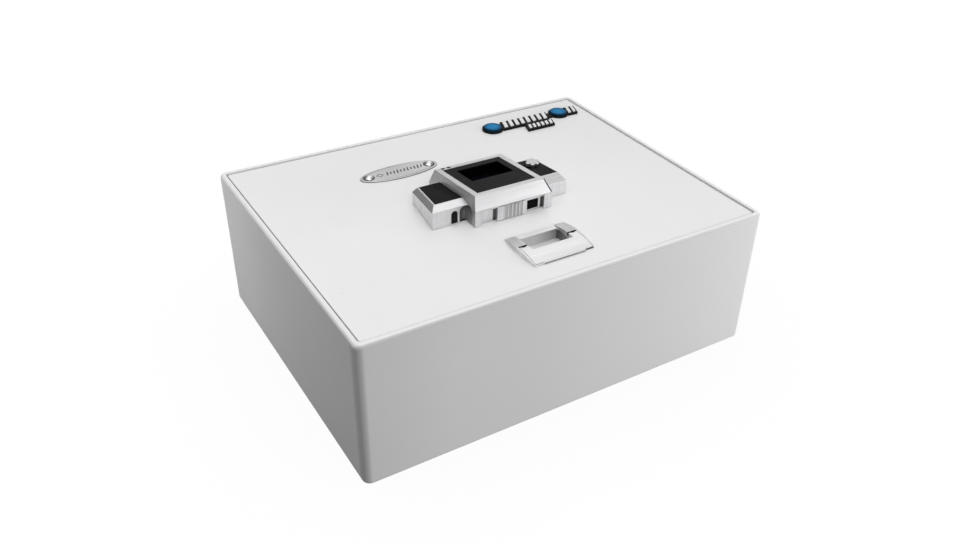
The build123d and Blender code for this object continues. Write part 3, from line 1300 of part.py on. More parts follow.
with BuildPart() as pull_frame:
    # barrel outline
    with BuildSketch(Plane.XY.offset(LID_TOP - 5)):
        with BuildLine():
            ThreePointArc((PULL_X, PULL_FRONT), (PULL_X + PULL_BARREL, PULL_MID),
                          (PULL_X, PULL_BACK))
            Line((PULL_X, PULL_BACK), (-PULL_X, PULL_BACK))
            ThreePointArc((-PULL_X, PULL_BACK), (-PULL_X - PULL_BARREL, PULL_MID),
                          (-PULL_X, PULL_FRONT))
            Line((-PULL_X, PULL_FRONT), (PULL_X, PULL_FRONT))
        make_face()
    extrude(amount=20)
    add(pull_body, mode=Mode.INTERSECT)
    # cup
    with BuildSketch(Plane.XY.offset(LID_TOP - CUP_DEPTH - CUP_T)):
        with Locations((0, (CUP_FRONT + CUP_BACK) / 2)):
            RectangleRounded(2 * (ARM_X + CUP_T), CUP_BACK - CUP_FRONT + 2 * CUP_T, 3)
    extrude(amount=10.3)
    with BuildSketch(Plane.XY.offset(LID_TOP - CUP_DEPTH)):
        with Locations((0, (CUP_FRONT + CUP_BACK) / 2)):
            RectangleRounded(2 * ARM_X, CUP_BACK - CUP_FRONT, 1.6)
    extrude(amount=20, mode=Mode.SUBTRACT)
    add(bail_space, mode=Mode.SUBTRACT)
    add(knuckle_groove, mode=Mode.SUBTRACT)
    # low rear rim between the end caps, front edge cut back
    add(rear_cut, mode=Mode.SUBTRACT)
    add(front_cut, mode=Mode.SUBTRACT)
    # pin holes through both borders, blind screw holes from below
    with Locations((0, BAIL_Y, BAIL_Z)):
        Cylinder(0.78, 80, rotation=(0, 90, 0), mode=Mode.SUBTRACT)
    with BuildSketch(Plane.XY.offset(LID_TOP - 1)):
        circles(1.27, *PULL_SCREWS)
    extrude(amount=2.4, mode=Mode.SUBTRACT)
save(pull_frame.part, "pull_frame")

BAIL_UNDER = SEAT_Z + BAIL_GAP
bail_shell = (arch_top & slab(-BAIL_X, BAIL_X, PULL_FRONT + 0.9, BAIL_Y, BAIL_UNDER, 150)
              ) - arch(ARCH_R - BAIL_T)
# front edge strip, cut back at the right end
bail_shell += arch_top & slab(-21.0, BAIL_X, PULL_FRONT + 0.2, PULL_FRONT + 3.0, BAIL_UNDER, 150)
bail_shell -= slab(21.5, 35, PULL_FRONT - 1, -128.1, 139, 150)
knuckle = bail_axis_rod(KNUCKLE_R, 2 * BAIL_X)

with BuildPart() as pull_bail:
    add(bail_shell)
    add(knuckle)
    with BuildSketch(Plane.XY.offset(130)):
        rect_between(-ARM_X, ARM_X, BAR_Y, 0)
    extrude(amount=30, mode=Mode.SUBTRACT)
    with Locations((0, BAIL_Y, BAIL_Z)):
        Cylinder(0.80, 80, rotation=(0, 90, 0), mode=Mode.SUBTRACT)
save(pull_bail.part, "pull_bail")

with BuildPart() as pull_pins:
    for side in (1, -1):
        with BuildSketch(side_plane(side * 22)):
            circles(0.75, (BAIL_Y, BAIL_Z))
        extrude(amount=side * 9.2)
save(pull_pins.part, "pull_pins")

save_screws("pull_screws", [(x, y, LID_UNDER - FIT) for x, y in PULL_SCREWS],
            head_r=3.0, head_h=1.8, shank_r=1.25, shank_top=141.2)
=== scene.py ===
"""Looks for the top-opening drawer safe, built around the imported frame.

Metres, +Z up.  The safe stands near z = 0, centred near x = y = 0, with its front towards -Y
and its right side towards +X.  The lid lies near z = 0.14 and the control module rises above it.
"""
import json
import math
import random
from functools import cached_property, reduce

import bmesh
import bpy
from mathutils import Matrix, Vector, noise


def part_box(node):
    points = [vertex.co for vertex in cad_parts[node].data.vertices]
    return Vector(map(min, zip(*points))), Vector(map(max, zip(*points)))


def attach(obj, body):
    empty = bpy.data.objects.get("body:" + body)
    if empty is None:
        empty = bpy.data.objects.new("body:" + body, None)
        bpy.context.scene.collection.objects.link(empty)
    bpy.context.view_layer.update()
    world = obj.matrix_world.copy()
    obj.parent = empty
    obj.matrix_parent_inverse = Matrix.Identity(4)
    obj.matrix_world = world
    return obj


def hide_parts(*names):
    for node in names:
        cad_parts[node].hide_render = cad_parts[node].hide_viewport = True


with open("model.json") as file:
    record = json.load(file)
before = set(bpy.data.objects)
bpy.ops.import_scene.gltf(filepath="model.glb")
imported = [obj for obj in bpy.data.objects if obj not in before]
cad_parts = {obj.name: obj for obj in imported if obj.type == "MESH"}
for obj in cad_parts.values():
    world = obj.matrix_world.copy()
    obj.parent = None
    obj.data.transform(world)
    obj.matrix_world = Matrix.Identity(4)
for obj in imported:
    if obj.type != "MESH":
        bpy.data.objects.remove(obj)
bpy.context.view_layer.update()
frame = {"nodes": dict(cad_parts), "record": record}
SCENE = bpy.context.scene


# ------------------------------------------------------------------ node helpers
def shade(colour, gain, lift=0.0):
    """The colour scaled and lifted, kept at or below 1."""
    return tuple(min(1.0, c * gain + lift) for c in colour)


def grey(value):
    return (value, value, value)


class Nodes:
    """Short ways to add and wire nodes.  With amount, a second value is scaled first."""

    def __init__(self, tree):
        self.tree = tree
        tree.nodes.clear()

    def add(self, kind, **props):
        node = self.tree.nodes.new(kind)
        for key, value in props.items():
            setattr(node, key, value)
        return node

    def link(self, source, socket):
        self.tree.links.new(source, socket)

    def put(self, socket, value):
        """Link a socket, or store a plain value; an RGB triple gets its alpha."""
        if isinstance(value, bpy.types.NodeSocket):
            self.link(value, socket)
        elif isinstance(value, (tuple, list)) and len(value) == 3 and socket.type == "RGBA":
            socket.default_value = (*value, 1.0)
        else:
            socket.default_value = value

    def math(self, operation, a, b=0.0, clamp=False):
        node = self.add("ShaderNodeMath", operation=operation, use_clamp=clamp)
        self.put(node.inputs[0], a)
        self.put(node.inputs[1], b)
        return node.outputs[0]

    def times(self, a, b):
        return self.math("MULTIPLY", a, b)

    def plus(self, a, b, amount=None):
        return self.math("ADD", a, b if amount is None else self.times(b, amount))

    def minus(self, a, b, amount=None):
        return self.math("SUBTRACT", a, b if amount is None else self.times(b, amount))

    def vector_value(self, operation, a, b):
        node = self.add("ShaderNodeVectorMath", operation=operation)
        self.put(node.inputs[0], a)
        self.put(node.inputs[1], b)
        return node.outputs["Value"]

    def camera_split(self, lighting, seen):
        """One shader for the light in the scene, another for what the camera sees."""
        path = self.add("ShaderNodeLightPath")
        node = self.add("ShaderNodeMixShader")
        self.link(path.outputs["Is Camera Ray"], node.inputs[0])
        self.link(lighting, node.inputs[1])
        self.link(seen, node.inputs[2])
        return node.outputs[0]


class Material(Nodes):
    """A material with one Principled shader; masks run from 0 to 1."""

    def __init__(self, name):
        self.data = bpy.data.materials.new(name)
        self.data.use_nodes = True
        super().__init__(self.data.node_tree)
        self.output = self.add("ShaderNodeOutputMaterial").inputs["Surface"]
        self.bsdf = self.add("ShaderNodeBsdfPrincipled")
        self.link(self.bsdf.outputs[0], self.output)
        self.place = self.add("ShaderNodeTexCoord").outputs["Object"]

    @cached_property
    def normal(self):
        return self.add("ShaderNodeNewGeometry").outputs["Normal"]

    def set(self, **values):
        for key, value in values.items():
            self.put(self.bsdf.inputs[key.replace("_", " ")], value)

    # textures
    def scaled(self, scale, turn=(0, 0, 0)):
        node = self.add("ShaderNodeMapping")
        self.link(self.place, node.inputs["Vector"])
        node.inputs["Scale"].default_value = scale
        node.inputs["Rotation"].default_value = turn
        return node.outputs[0]

    def noise(self, scale=1.0, detail=2.0, rough=0.5, stretch=None, turn=(0, 0, 0),
              distortion=0.0):
        """Noise; stretch gives a scale per axis, and turn rotates it."""
        node = self.add("ShaderNodeTexNoise")
        self.link(self.scaled(stretch, turn) if stretch else self.place, node.inputs["Vector"])
        node.inputs["Scale"].default_value = scale
        node.inputs["Detail"].default_value = detail
        node.inputs["Roughness"].default_value = rough
        node.inputs["Distortion"].default_value = distortion
        return node.outputs["Fac"]

    def patches(self, over=(0.3, 0.7), to=(0.0, 1.0), **texture):
        """Noise with its contrast raised."""
        return self.fit(self.noise(**texture), over, to)

    def cells(self, scale, output="Distance"):
        node = self.add("ShaderNodeTexVoronoi", feature="F1")
        self.link(self.place, node.inputs["Vector"])
        node.inputs["Scale"].default_value = scale
        return node.outputs[output]

    def facing_ratio(self, blend):
        node = self.add("ShaderNodeLayerWeight")
        node.inputs["Blend"].default_value = blend
        return node.outputs["Facing"]

    # values and colours
    def fit(self, value, over, to=(0.0, 1.0)):
        """The span over mapped to the span to, held at both ends."""
        node = self.add("ShaderNodeMapRange", clamp=True)
        self.put(node.inputs["Value"], value)
        node.inputs["From Min"].default_value, node.inputs["From Max"].default_value = over
        node.inputs["To Min"].default_value, node.inputs["To Max"].default_value = to
        return node.outputs["Result"]

    def mix(self, mask, under, tone, amount=None, mode="MIX"):
        node = self.add("ShaderNodeMix", data_type="RGBA", blend_type=mode)
        self.put(node.inputs["Factor"], mask if amount is None else self.times(mask, amount))
        self.put(node.inputs[6], under)
        self.put(node.inputs[7], tone)
        return node.outputs[2]

    def grey_of(self, value):
        node = self.add("ShaderNodeCombineColor")
        for socket in node.inputs[:3]:
            self.link(value, socket)
        return node.outputs[0]

    def ramp(self, factor, stops):
        node = self.add("ShaderNodeValToRGB")
        self.put(node.inputs["Fac"], factor)
        elements = node.color_ramp.elements
        while len(elements) < len(stops):
            elements.new(0.5)
        for element, (position, colour) in zip(elements, stops):
            element.position = position
            element.color = (*colour, 1.0)
        return node.outputs["Color"]

    # normals
    def rounded(self, radius):
        """Normal with every edge softened by the radius."""
        node = self.add("ShaderNodeBevel", samples=4)
        node.inputs["Radius"].default_value = radius
        return node.outputs["Normal"]

    def edges(self, soft, gain):
        """0 on flats, rising to 1 on edges."""
        flatness = self.vector_value("DOT_PRODUCT", soft, self.normal)
        return self.math("MULTIPLY", self.minus(1.0, flatness), gain, clamp=True)

    def bump(self, height, distance, strength, normal=None):
        node = self.add("ShaderNodeBump")
        node.inputs["Strength"].default_value = strength
        node.inputs["Distance"].default_value = distance
        self.put(node.inputs["Height"], height)
        if normal is not None:
            self.link(normal, node.inputs["Normal"])
        return node.outputs["Normal"]

    # masks by place and direction
    def axis(self, name, vector=None):
        node = self.add("ShaderNodeSeparateXYZ")
        self.link(vector or self.place, node.inputs[0])
        return node.outputs[name]

    def mirrored(self, name):
        """Distance from the object's middle plane across the named axis."""
        return self.math("ABSOLUTE", self.axis(name))

    def along(self, name, over, to=(0.0, 1.0)):
        return self.fit(self.axis(name), over, to)

    def facing(self, name, over, to=(0.0, 1.0)):
        """Mask by one component of the surface normal."""
        return self.fit(self.axis(name, self.normal), over, to)

    def above(self, value, edge, soft=0.00004):
        return self.fit(value, over=(edge - soft, edge + soft))

    def below(self, value, edge, soft=0.00004):
        return self.fit(value, over=(edge - soft, edge + soft), to=(1.0, 0.0))

    def all_of(self, *masks):
        return reduce(self.times, masks)

    def any_of(self, *masks):
        return reduce(lambda a, b: self.math("MAXIMUM", a, b), masks)

    def least(self, values):
        return reduce(lambda a, b: self.math("MINIMUM", a, b), values)

    def inside(self, x=None, y=None, z=None, soft=0.00004):
        """1 inside the given ranges of the object's own coordinates; None leaves an end open."""
        parts = []
        for name, span in (("X", x), ("Y", y), ("Z", z)):
            if span is None:
                continue
            low, high = span
            value = self.axis(name)
            if low is not None:
                parts.append(self.above(value, low, soft))
            if high is not None:
                parts.append(self.below(value, high, soft))
        return self.all_of(*parts)

    def near(self, x, y, top=None):
        """Distance from a vertical line, or from a vertical line that ends at the height top."""
        across = self.minus(self.axis("X"), x)
        back = self.minus(self.axis("Y"), y)
        square = self.plus(self.times(across, across), self.times(back, back))
        if top is not None:
            rise = self.math("MAXIMUM", self.minus(self.axis("Z"), top), 0.0)
            square = self.plus(square, self.times(rise, rise))
        return self.math("SQRT", square)

    def round_spots(self, centres, over):
        """1 close to any of the (x, y) centres, falling to 0 over the span of radii."""
        nearest = self.least([self.near(x, y) for x, y in centres])
        return self.fit(nearest, over, to=(1.0, 0.0))


# ------------------------------------------------------------------ powder coat
def powder(name, colour, rough, peel, spec=0.5, wear=0.35, tones=None):
    """Powder coat: orange peel of depth peel, faint mottling, bright edges, rare dust.

    tones(mat, base, colour) lays painted shade over the coat."""
    mat = Material(name)
    soft = mat.rounded(radius=0.0004)
    edge = mat.edges(soft, gain=2.4)
    mottle = mat.patches(scale=7.0, detail=3.0, rough=0.55)
    base = mat.mix(mottle, shade(colour, 0.972), colour)
    fleck = mat.patches(scale=1500.0, rough=0.6, over=(0.35, 0.7))
    base = mat.mix(fleck, base, shade(colour, 0.90), amount=0.22)
    dust = mat.patches(scale=260.0, detail=0.0, over=(0.865, 0.885))
    base = mat.mix(dust, base, shade(colour, 0.55), amount=0.16)
    base = mat.mix(edge, base, shade(colour, 1.08, lift=0.02), amount=wear)
    if tones is not None:
        base = tones(mat, base, colour)
    handled = mat.patches(scale=22.0, detail=4.0, rough=0.6, over=(0.35, 0.75))
    roughness = mat.plus(rough, handled, amount=0.07)
    roughness = mat.minus(roughness, edge, amount=0.06)
    skin = mat.plus(mat.noise(scale=520.0, detail=1.5),
                    mat.noise(scale=2600.0, detail=1.0), amount=0.35)
    mat.set(Base_Color=base, Roughness=roughness, Specular_IOR_Level=spec,
            Normal=mat.bump(skin, distance=peel, strength=0.55, normal=soft))
    return mat.data


def box_painted_shade(mat, base, colour):
    # painted shade for a dark reflection round the front left bend, strongest on the side of it
    side = mat.all_of(
        mat.along("Y", over=(-0.1450, -0.1545)),
        mat.along("X", over=(-0.2040, -0.1985), to=(1.0, 0.0)),
        mat.along("Z", over=(0.1365, 0.1392), to=(0.74, 0.0)))
    base = mat.mix(side, base, shade(colour, 0.36))
    # painted shade on the front face, strongest at its left end and fading out to the right
    front = mat.all_of(
        mat.along("X", over=(-0.200, -0.120), to=(0.13, 0.0)),
        mat.inside(y=(None, -0.1560), z=(None, 0.1385), soft=0.0008))
    base = mat.mix(front, base, shade(colour, 0.36))
    # painted shade over the rounded front and left top edges, weaker on the left
    front_edge = mat.all_of(mat.facing("Y", over=(-0.62, -0.28), to=(1.0, 0.0)),
                            mat.inside(y=(None, -0.1542)))
    left_edge = mat.all_of(mat.facing("X", over=(-0.62, -0.28), to=(1.0, 0.0)),
                           mat.inside(x=(None, -0.2018)))
    top_edge_shade = mat.all_of(mat.any_of(front_edge, mat.times(left_edge, 0.6)),
                          mat.facing("Z", over=(0.04, 0.30), to=(0.0, 0.58)),
                          mat.inside(z=(0.1370, None)))
    base = mat.mix(top_edge_shade, base, shade(colour, 0.52))
    # painted shade in the running gap on the inner edge of the lip, weaker along the left and
    # right sides
    across, back = mat.mirrored("X"), mat.mirrored("Y")
    side_lip = mat.all_of(mat.above(across, 0.1990), mat.below(across, 0.20035))
    end_lip = mat.all_of(mat.above(back, 0.1515), mat.below(back, 0.15285))
    lip = mat.all_of(mat.any_of(mat.times(side_lip, 0.3), end_lip),
                     mat.below(across, 0.2006), mat.below(back, 0.1531),
                     mat.inside(z=(0.1250, 0.1405), soft=0.0002))
    return mat.mix(lip, base, shade(colour, 0.40), amount=0.36)


def lid_painted_shade(mat, base, colour):
    # painted shade on the left edge of the lid, in the running gap
    skirt_shade = mat.inside(x=(None, -0.19825), z=(None, 0.1394), soft=0.0001)
    return mat.mix(skirt_shade, base, shade(colour, 0.42))


# ------------------------------------------------------------------ satin castings
def cast(name, colour, rough, radius, brushing=1.0, hollows=None, sheet=None):
    """Satin plated casting: fine brushing along X, cloudy patches, edges polished brighter.

    hollows(mat) lists masks and darker tones, most of them painted shade in recesses.
    sheet(mat) gives the mask and tone of a painted non-metal skin; its tone holds painted shade
    and painted light."""
    mat = Material(name)
    soft = mat.rounded(radius)
    edge = mat.edges(soft, gain=2.8)
    brush = mat.noise(stretch=(16.0, 420.0, 420.0), detail=3.0, rough=0.6)
    hair = mat.noise(stretch=(60.0, 1900.0, 1900.0), rough=0.6)
    cloud = mat.patches(scale=34.0, detail=3.0, rough=0.55)
    base = mat.mix(mat.fit(brush, over=(0.3, 0.7)), shade(colour, 0.90), shade(colour, 1.06))
    base = mat.mix(cloud, base, shade(colour, 0.94), amount=0.30)
    # painted shade on the steep faces, broken into downward streaks
    steep_streaks = mat.patches(stretch=(520.0, 520.0, 22.0), rough=0.55, over=(0.42, 0.72))
    upright = mat.math("ABSOLUTE", mat.axis("Z", mat.normal))
    steep = mat.fit(upright, over=(0.25, 0.40), to=(1.0, 0.0))
    steep_shade_amount = mat.plus(0.42, 0.0)
    base = mat.mix(mat.all_of(steep, steep_streaks, steep_shade_amount), base, shade(colour, 0.66))
    base = mat.mix(edge, base, (0.93, 0.93, 0.94), amount=0.75)
    roughness = mat.plus(rough - 0.05, brush, amount=0.12 * brushing)
    roughness = mat.minus(roughness, edge, amount=0.08)
    metal = 1.0
    if hollows is not None:
        for mask, tone in hollows(mat):
            base = mat.mix(mask, base, tone)
            roughness = mat.plus(roughness, mask, amount=0.12)
    if sheet is not None:
        mask, tone = sheet(mat)
        base = mat.mix(mask, base, tone)
        metal = mat.minus(1.0, mask, amount=0.8)
    height = mat.plus(mat.times(brush, 0.6), hair, amount=0.4)
    mat.set(Base_Color=base, Metallic=metal, Roughness=roughness,
            Normal=mat.bump(height, distance=0.00003, strength=0.5 * brushing, normal=soft))
    return mat.data


def niche_shade(mat):
    """Arched niche on the left in painted shade, streaked downwards and darkest at its top."""
    arch = mat.all_of(
        mat.fit(mat.near(-0.0434, -0.0386, top=0.1504), over=(0.00664, 0.00684), to=(1.0, 0.0)),
        mat.inside(x=(-0.052, -0.036)))
    streak = mat.patches(stretch=(900.0, 900.0, 12.0))
    tone = mat.mix(streak, (0.28, 0.28, 0.285), (0.44, 0.44, 0.445))
    high = mat.along("Z", over=(0.148, 0.1565))
    return arch, mat.mix(high, tone, (0.08, 0.08, 0.082), amount=0.8)


def left_flank_shade(mat):
    """Left flank of the housing in painted shade, streaked, strongest towards the front corner.
    """
    flank = mat.all_of(
        mat.facing("X", over=(-0.80, -0.65), to=(1.0, 0.0)),
        mat.inside(x=(-0.0424, -0.0375), z=(0.1405, 0.1683)),
        mat.along("Y", over=(-0.046, 0.030), to=(0.78, 0.55)))
    streak = mat.patches(stretch=(600.0, 600.0, 30.0))
    return flank, mat.mix(streak, (0.33, 0.33, 0.335), (0.48, 0.48, 0.485))


def chamfer_shadow_line(mat):
    """Painted shadow line along the right end of the front chamfer, leaning inwards as it rises.
    """
    foot_x, foot_z, lean = 0.03815, 0.1559, 0.424
    line = mat.minus(foot_x, mat.minus(mat.axis("Z"), foot_z), amount=lean)
    shade_line_mask = mat.all_of(
        mat.facing("Y", over=(-0.42, -0.30), to=(1.0, 0.0)),
        mat.fit(mat.minus(mat.axis("X"), line), over=(-0.00004, 0.00006)),
        mat.inside(x=(0.0335, 0.0403), y=(-0.0506, -0.0425), z=(0.1556, 0.1679)))
    return shade_line_mask, (0.07, 0.07, 0.072)


def light_seats(mat):
    """Near-black rings on the casting round the two status lights."""
    lights = [(-0.0307, 0.0290), (-0.0247, 0.0290)]
    seats = mat.all_of(mat.round_spots(lights, over=(0.0019, 0.0021)),
                       mat.inside(z=(0.1540, None)))
    return seats, grey(0.016)


def rib_troughs(mat):
    """Shaded troughs of the finger ribs on the sliding cover."""
    first_x, pitch, rib_y = -0.0101, 0.004, -0.0513
    ribs = [(first_x + pitch * k, rib_y) for k in range(5)]
    troughs = mat.all_of(mat.round_spots(ribs, over=(0.00152, 0.00162)),
                         mat.inside(y=(-0.0520, -0.0495), z=(0.1408, 0.1548)))
    return troughs, (0.60, 0.60, 0.605)


def module_shade_tones(mat):
    """The recesses of the module casting and other dark places: painted shade on the left flank,
    in the niche, the pockets, along the chamfer and in the rib troughs, with near-black rings
    round the status lights and a near-black port face.
    """
    pocket_y, pocket_z = (-0.04650, -0.0390), (None, 0.1545)
    # painted shade in the pockets; the port face inside them is near black
    pocket_shade = mat.inside(x=(-0.0225, 0.0318), y=pocket_y, z=pocket_z)
    port = mat.inside(x=(0.0145, 0.0275), y=pocket_y, z=pocket_z)
    return [left_flank_shade(mat), light_seats(mat), niche_shade(mat),
            (pocket_shade, (0.36, 0.36, 0.365)), (port, (0.03, 0.03, 0.031)),
            chamfer_shadow_line(mat), rib_troughs(mat)]


def pull_caps_and_shadow(mat):
    """End caps, with painted shadow on the seat under the bail's front edge and in the hinge
    groove.
    """
    caps = mat.all_of(mat.inside(y=(-0.1022, None), z=(0.1409, None)),
                      mat.fit(mat.mirrored("X"), over=(0.0207, 0.0210)))
    grain = mat.patches(stretch=(500.0, 40.0, 500.0))
    cap_tone = mat.mix(grain, (0.58, 0.58, 0.585), (0.70, 0.70, 0.705))
    seat = mat.inside(x=(-0.0215, None), y=(-0.1286, -0.1262), z=(None, 0.14105))
    groove = mat.all_of(mat.inside(y=(-0.10405, -0.10205), z=(0.1412, None)),
                        mat.fit(mat.mirrored("X"), over=(0.0209, 0.0211)),
                        mat.fit(mat.mirrored("X"), over=(0.0299, 0.0301), to=(1.0, 0.0)))
    return [(caps, cap_tone), (seat, grey(0.012)), (groove, grey(0.02))]


def bail_shadow(mat):
    """Painted shadow in the round scoops at both ends, on the rear knuckle and under the front
    edge.
    """
    scoops = mat.all_of(
        mat.round_spots([(-0.0254, -0.1015), (0.0254, -0.1015)], over=(0.0035, 0.0038)),
        mat.inside(z=(0.1409, None)))
    knuckle = mat.inside(y=(-0.1037, None))
    under = mat.inside(z=(None, 0.1412), y=(None, -0.1262))
    return [(scoops, grey(0.04)), (knuckle, grey(0.03)), (under, grey(0.03))]


def cup_skin_and_shade(mat):
    """Light satin grey inside the cup, with painted shade on the rear wall and right end and
    painted light on the floor below.
    """
    cup = mat.all_of(mat.inside(y=(-0.1262, -0.0878), z=(None, 0.1405)),
                     mat.fit(mat.mirrored("X"), over=(0.0211, 0.0212), to=(1.0, 0.0)))
    mottle = mat.patches(scale=60.0, detail=3.0)
    tone = mat.mix(mottle, grey(0.70), grey(0.76))
    # painted shade on the rear wall and the right end
    rear = mat.all_of(mat.inside(y=(-0.0899, None)),
                      mat.along("X", over=(-0.004, 0.021), to=(0.12, 0.80)))
    tone = mat.mix(rear, tone, (0.22, 0.22, 0.222))
    right = mat.all_of(mat.inside(x=(0.0195, None)),
                       mat.along("Y", over=(-0.118, -0.092), to=(0.45, 0.95)))
    tone = mat.mix(right, tone, (0.10, 0.10, 0.102))
    # painted light on the floor of the cup
    return cup, mat.mix(mat.inside(z=(None, 0.1316)), tone, grey(0.86))


# ------------------------------------------------------------------ plastic, rubber, felt
def moulded(name, colour, rough, grain, spec=0.35, deep=None):
    """Moulded plastic: spark-eroded grain, finger smudges, edges a little lighter.

    deep(mat) masks the sunk parts that get painted shade: near black, with little specular."""
    mat = Material(name)
    soft = mat.rounded(radius=0.0003)
    edge = mat.edges(soft, gain=2.0)
    smear = mat.patches(scale=60.0, detail=4.0, rough=0.65, distortion=0.4, over=(0.35, 0.75))
    base = mat.mix(mat.patches(scale=900.0), shade(colour, 0.86), shade(colour, 1.12))
    base = mat.mix(smear, base, shade(colour, 1.25, lift=0.001), amount=0.35)
    base = mat.mix(edge, base, shade(colour, 1.8, lift=0.012), amount=0.6)
    if deep is not None:
        well = deep(mat)
        base = mat.mix(well, base, (0.0012, 0.0012, 0.0014))
        spec = mat.times(spec, mat.minus(1.0, well, amount=0.85))
    pits = mat.plus(mat.cells(scale=1700.0), mat.noise(scale=3100.0, detail=1.0), amount=0.5)
    mat.set(Base_Color=base, Roughness=mat.plus(rough, smear, amount=0.10),
            Specular_IOR_Level=spec, Coat_Weight=0.0, Coat_Roughness=0.08,
            Normal=mat.bump(pits, distance=grain, strength=0.5, normal=soft))
    return mat.data


def window_well_shade(mat):
    """Mask of everything sunk below the window plate's face, which slopes down towards the back;
    it gets painted shade.
    """
    height_at_middle, slope = 0.1634, 0.1
    face = mat.minus(height_at_middle, mat.axis("Y"), amount=slope)
    return mat.below(mat.minus(mat.axis("Z"), face), -0.0006, soft=0.0001)


def rubber(name, colour):
    """Matt rubber with a pale bloom."""
    mat = Material(name)
    soft = mat.rounded(radius=0.0003)
    bloom = mat.patches(scale=90.0, detail=4.0, rough=0.65, over=(0.4, 0.75))
    base = mat.mix(bloom, colour, shade(colour, 1.5, lift=0.004))
    height = mat.plus(mat.noise(scale=900.0, detail=3.0, rough=0.6),
                      mat.cells(scale=2400.0), amount=0.4)
    mat.set(Base_Color=base, Roughness=mat.minus(0.78, bloom, amount=0.10),
            Specular_IOR_Level=0.10,
            Normal=mat.bump(height, distance=0.00003, strength=0.6, normal=soft))
    return mat.data


def felt(name, colour):
    """Needle felt: matted fibres in two directions, lint, soft sheen."""
    mat = Material(name)
    fibre = mat.math("MAXIMUM", *[
        mat.noise(detail=3.0, rough=0.65, stretch=stretch, turn=turn, distortion=0.6)
        for stretch, turn in (((1500.0, 260.0, 400.0), (0, 0, 0.5)),
                              ((240.0, 1400.0, 400.0), (0, 0, 0.35)))])
    worn = mat.patches(scale=11.0, detail=3.0, rough=0.6)
    lint = mat.patches(scale=640.0, detail=1.0, over=(0.70, 0.76))
    base = mat.mix(mat.fit(fibre, over=(0.42, 0.72)),
                   shade(colour, 0.55), shade(colour, 1.7, lift=0.006))
    base = mat.mix(worn, base, shade(colour, 1.35), amount=0.30)
    base = mat.mix(lint, base, (0.16, 0.16, 0.165), amount=0.35)
    height = mat.plus(fibre, mat.noise(scale=230.0), amount=0.6)
    mat.set(Base_Color=base, Roughness=0.93, Specular_IOR_Level=0.15, Sheen_Weight=0.55,
            Sheen_Roughness=0.45, Sheen_Tint=(0.75, 0.77, 0.8),
            Normal=mat.bump(height, distance=0.00028, strength=0.9))
    return mat.data


# ------------------------------------------------------------------ plain metals
def steel(name, colour, rough, tool_marks=None):
    """Small metal parts: zinc plate with spangle, or turned with tool marks.

    tool_marks is the scale per axis of the turned lines."""
    mat = Material(name)
    soft = mat.rounded(radius=0.0002)
    edge = mat.edges(soft, gain=2.5)
    cloud = mat.patches(scale=48.0, detail=4.0, rough=0.6, over=(0.3, 0.72))
    if tool_marks is None:
        spangle = mat.axis("X", mat.cells(scale=260.0, output="Color"))
        tone = mat.fit(spangle, over=(0.0, 1.0), to=(0.88, 1.05))
        warm = (colour[0] * 1.03, colour[1] * 1.02, colour[2] * 0.97)
        tint = mat.mix(cloud, shade(colour, 0.93), warm)
        base = mat.mix(1.0, tint, mat.grey_of(tone), mode="MULTIPLY")
        height = mat.noise(scale=1100.0, rough=0.6)
        depth = 0.000012
    else:
        height = mat.noise(stretch=tool_marks)
        base = mat.mix(mat.fit(height, over=(0.3, 0.7)), shade(colour, 0.86), shade(colour, 1.10))
        base = mat.mix(cloud, base, shade(colour, 0.88), amount=0.3)
        depth = 0.00002
    base = mat.mix(edge, base, shade(colour, 1.25, lift=0.05), amount=0.6)
    roughness = mat.plus(rough, cloud, amount=0.12)
    roughness = mat.minus(roughness, edge, amount=0.10)
    mat.set(Base_Color=base, Metallic=1.0, Roughness=roughness,
            Normal=mat.bump(height, distance=depth, strength=0.45, normal=soft))
    return mat.data


def chrome(name, colour, rough, radius):
    """Polished plate: hairline scratches and faint cloudy tarnish."""
    mat = Material(name)
    soft = mat.rounded(radius)
    edge = mat.edges(soft, gain=2.5)
    cloud = mat.patches(scale=240.0, detail=4.0, rough=0.6, over=(0.35, 0.75))
    base = mat.mix(cloud, colour, shade(colour, 0.86), amount=0.5)
    base = mat.mix(edge, base, (0.96, 0.96, 0.97), amount=0.5)
    hair = mat.noise(stretch=(300.0, 4200.0, 900.0), turn=(0.3, 0.2, 0.7), rough=0.7)
    roughness = mat.plus(rough, mat.fit(hair, over=(0.45, 0.75)), amount=0.10)
    mat.set(Base_Color=base, Metallic=1.0, Roughness=roughness,
            Normal=mat.bump(hair, distance=0.000006, strength=0.4, normal=soft))
    return mat.data


def brushed_plate(name, colour):
    """Plate brushed along X, with painted shadow in a disc round each rivet and along its foot.
    """
    rivets = [(-0.0840, 0.0793), (-0.0195, 0.0793)]
    mat = Material(name)
    soft = mat.rounded(radius=0.00035)
    edge = mat.edges(soft, gain=2.6)
    line = mat.noise(stretch=(26.0, 2600.0, 2600.0), detail=4.0, rough=0.65)
    band = mat.patches(stretch=(9.0, 420.0, 420.0))
    base = mat.mix(mat.fit(line, over=(0.3, 0.7)), shade(colour, 0.82), shade(colour, 1.12))
    base = mat.mix(band, base, shade(colour, 0.86), amount=0.3)
    base = mat.mix(edge, base, (0.88, 0.88, 0.89), amount=0.6)
    # painted shadow in a disc round each rivet
    nearest = mat.least([mat.near(x, y) for x, y in rivets])
    rings = mat.fit(nearest, over=(0.0055, 0.0059), to=(0.92, 0.0))
    base = mat.mix(rings, base, (0.03, 0.03, 0.032))
    # painted shadow on the plate's foot, its lower side wall
    base = mat.mix(mat.inside(z=(None, 0.14085)), base, (0.16, 0.16, 0.165))
    mat.set(Base_Color=base, Metallic=1.0, Anisotropic=0.45,
            Roughness=mat.fit(line, over=(0.25, 0.75), to=(0.30, 0.46)),
            Normal=mat.bump(line, distance=0.00002, strength=0.5, normal=soft))
    return mat.data


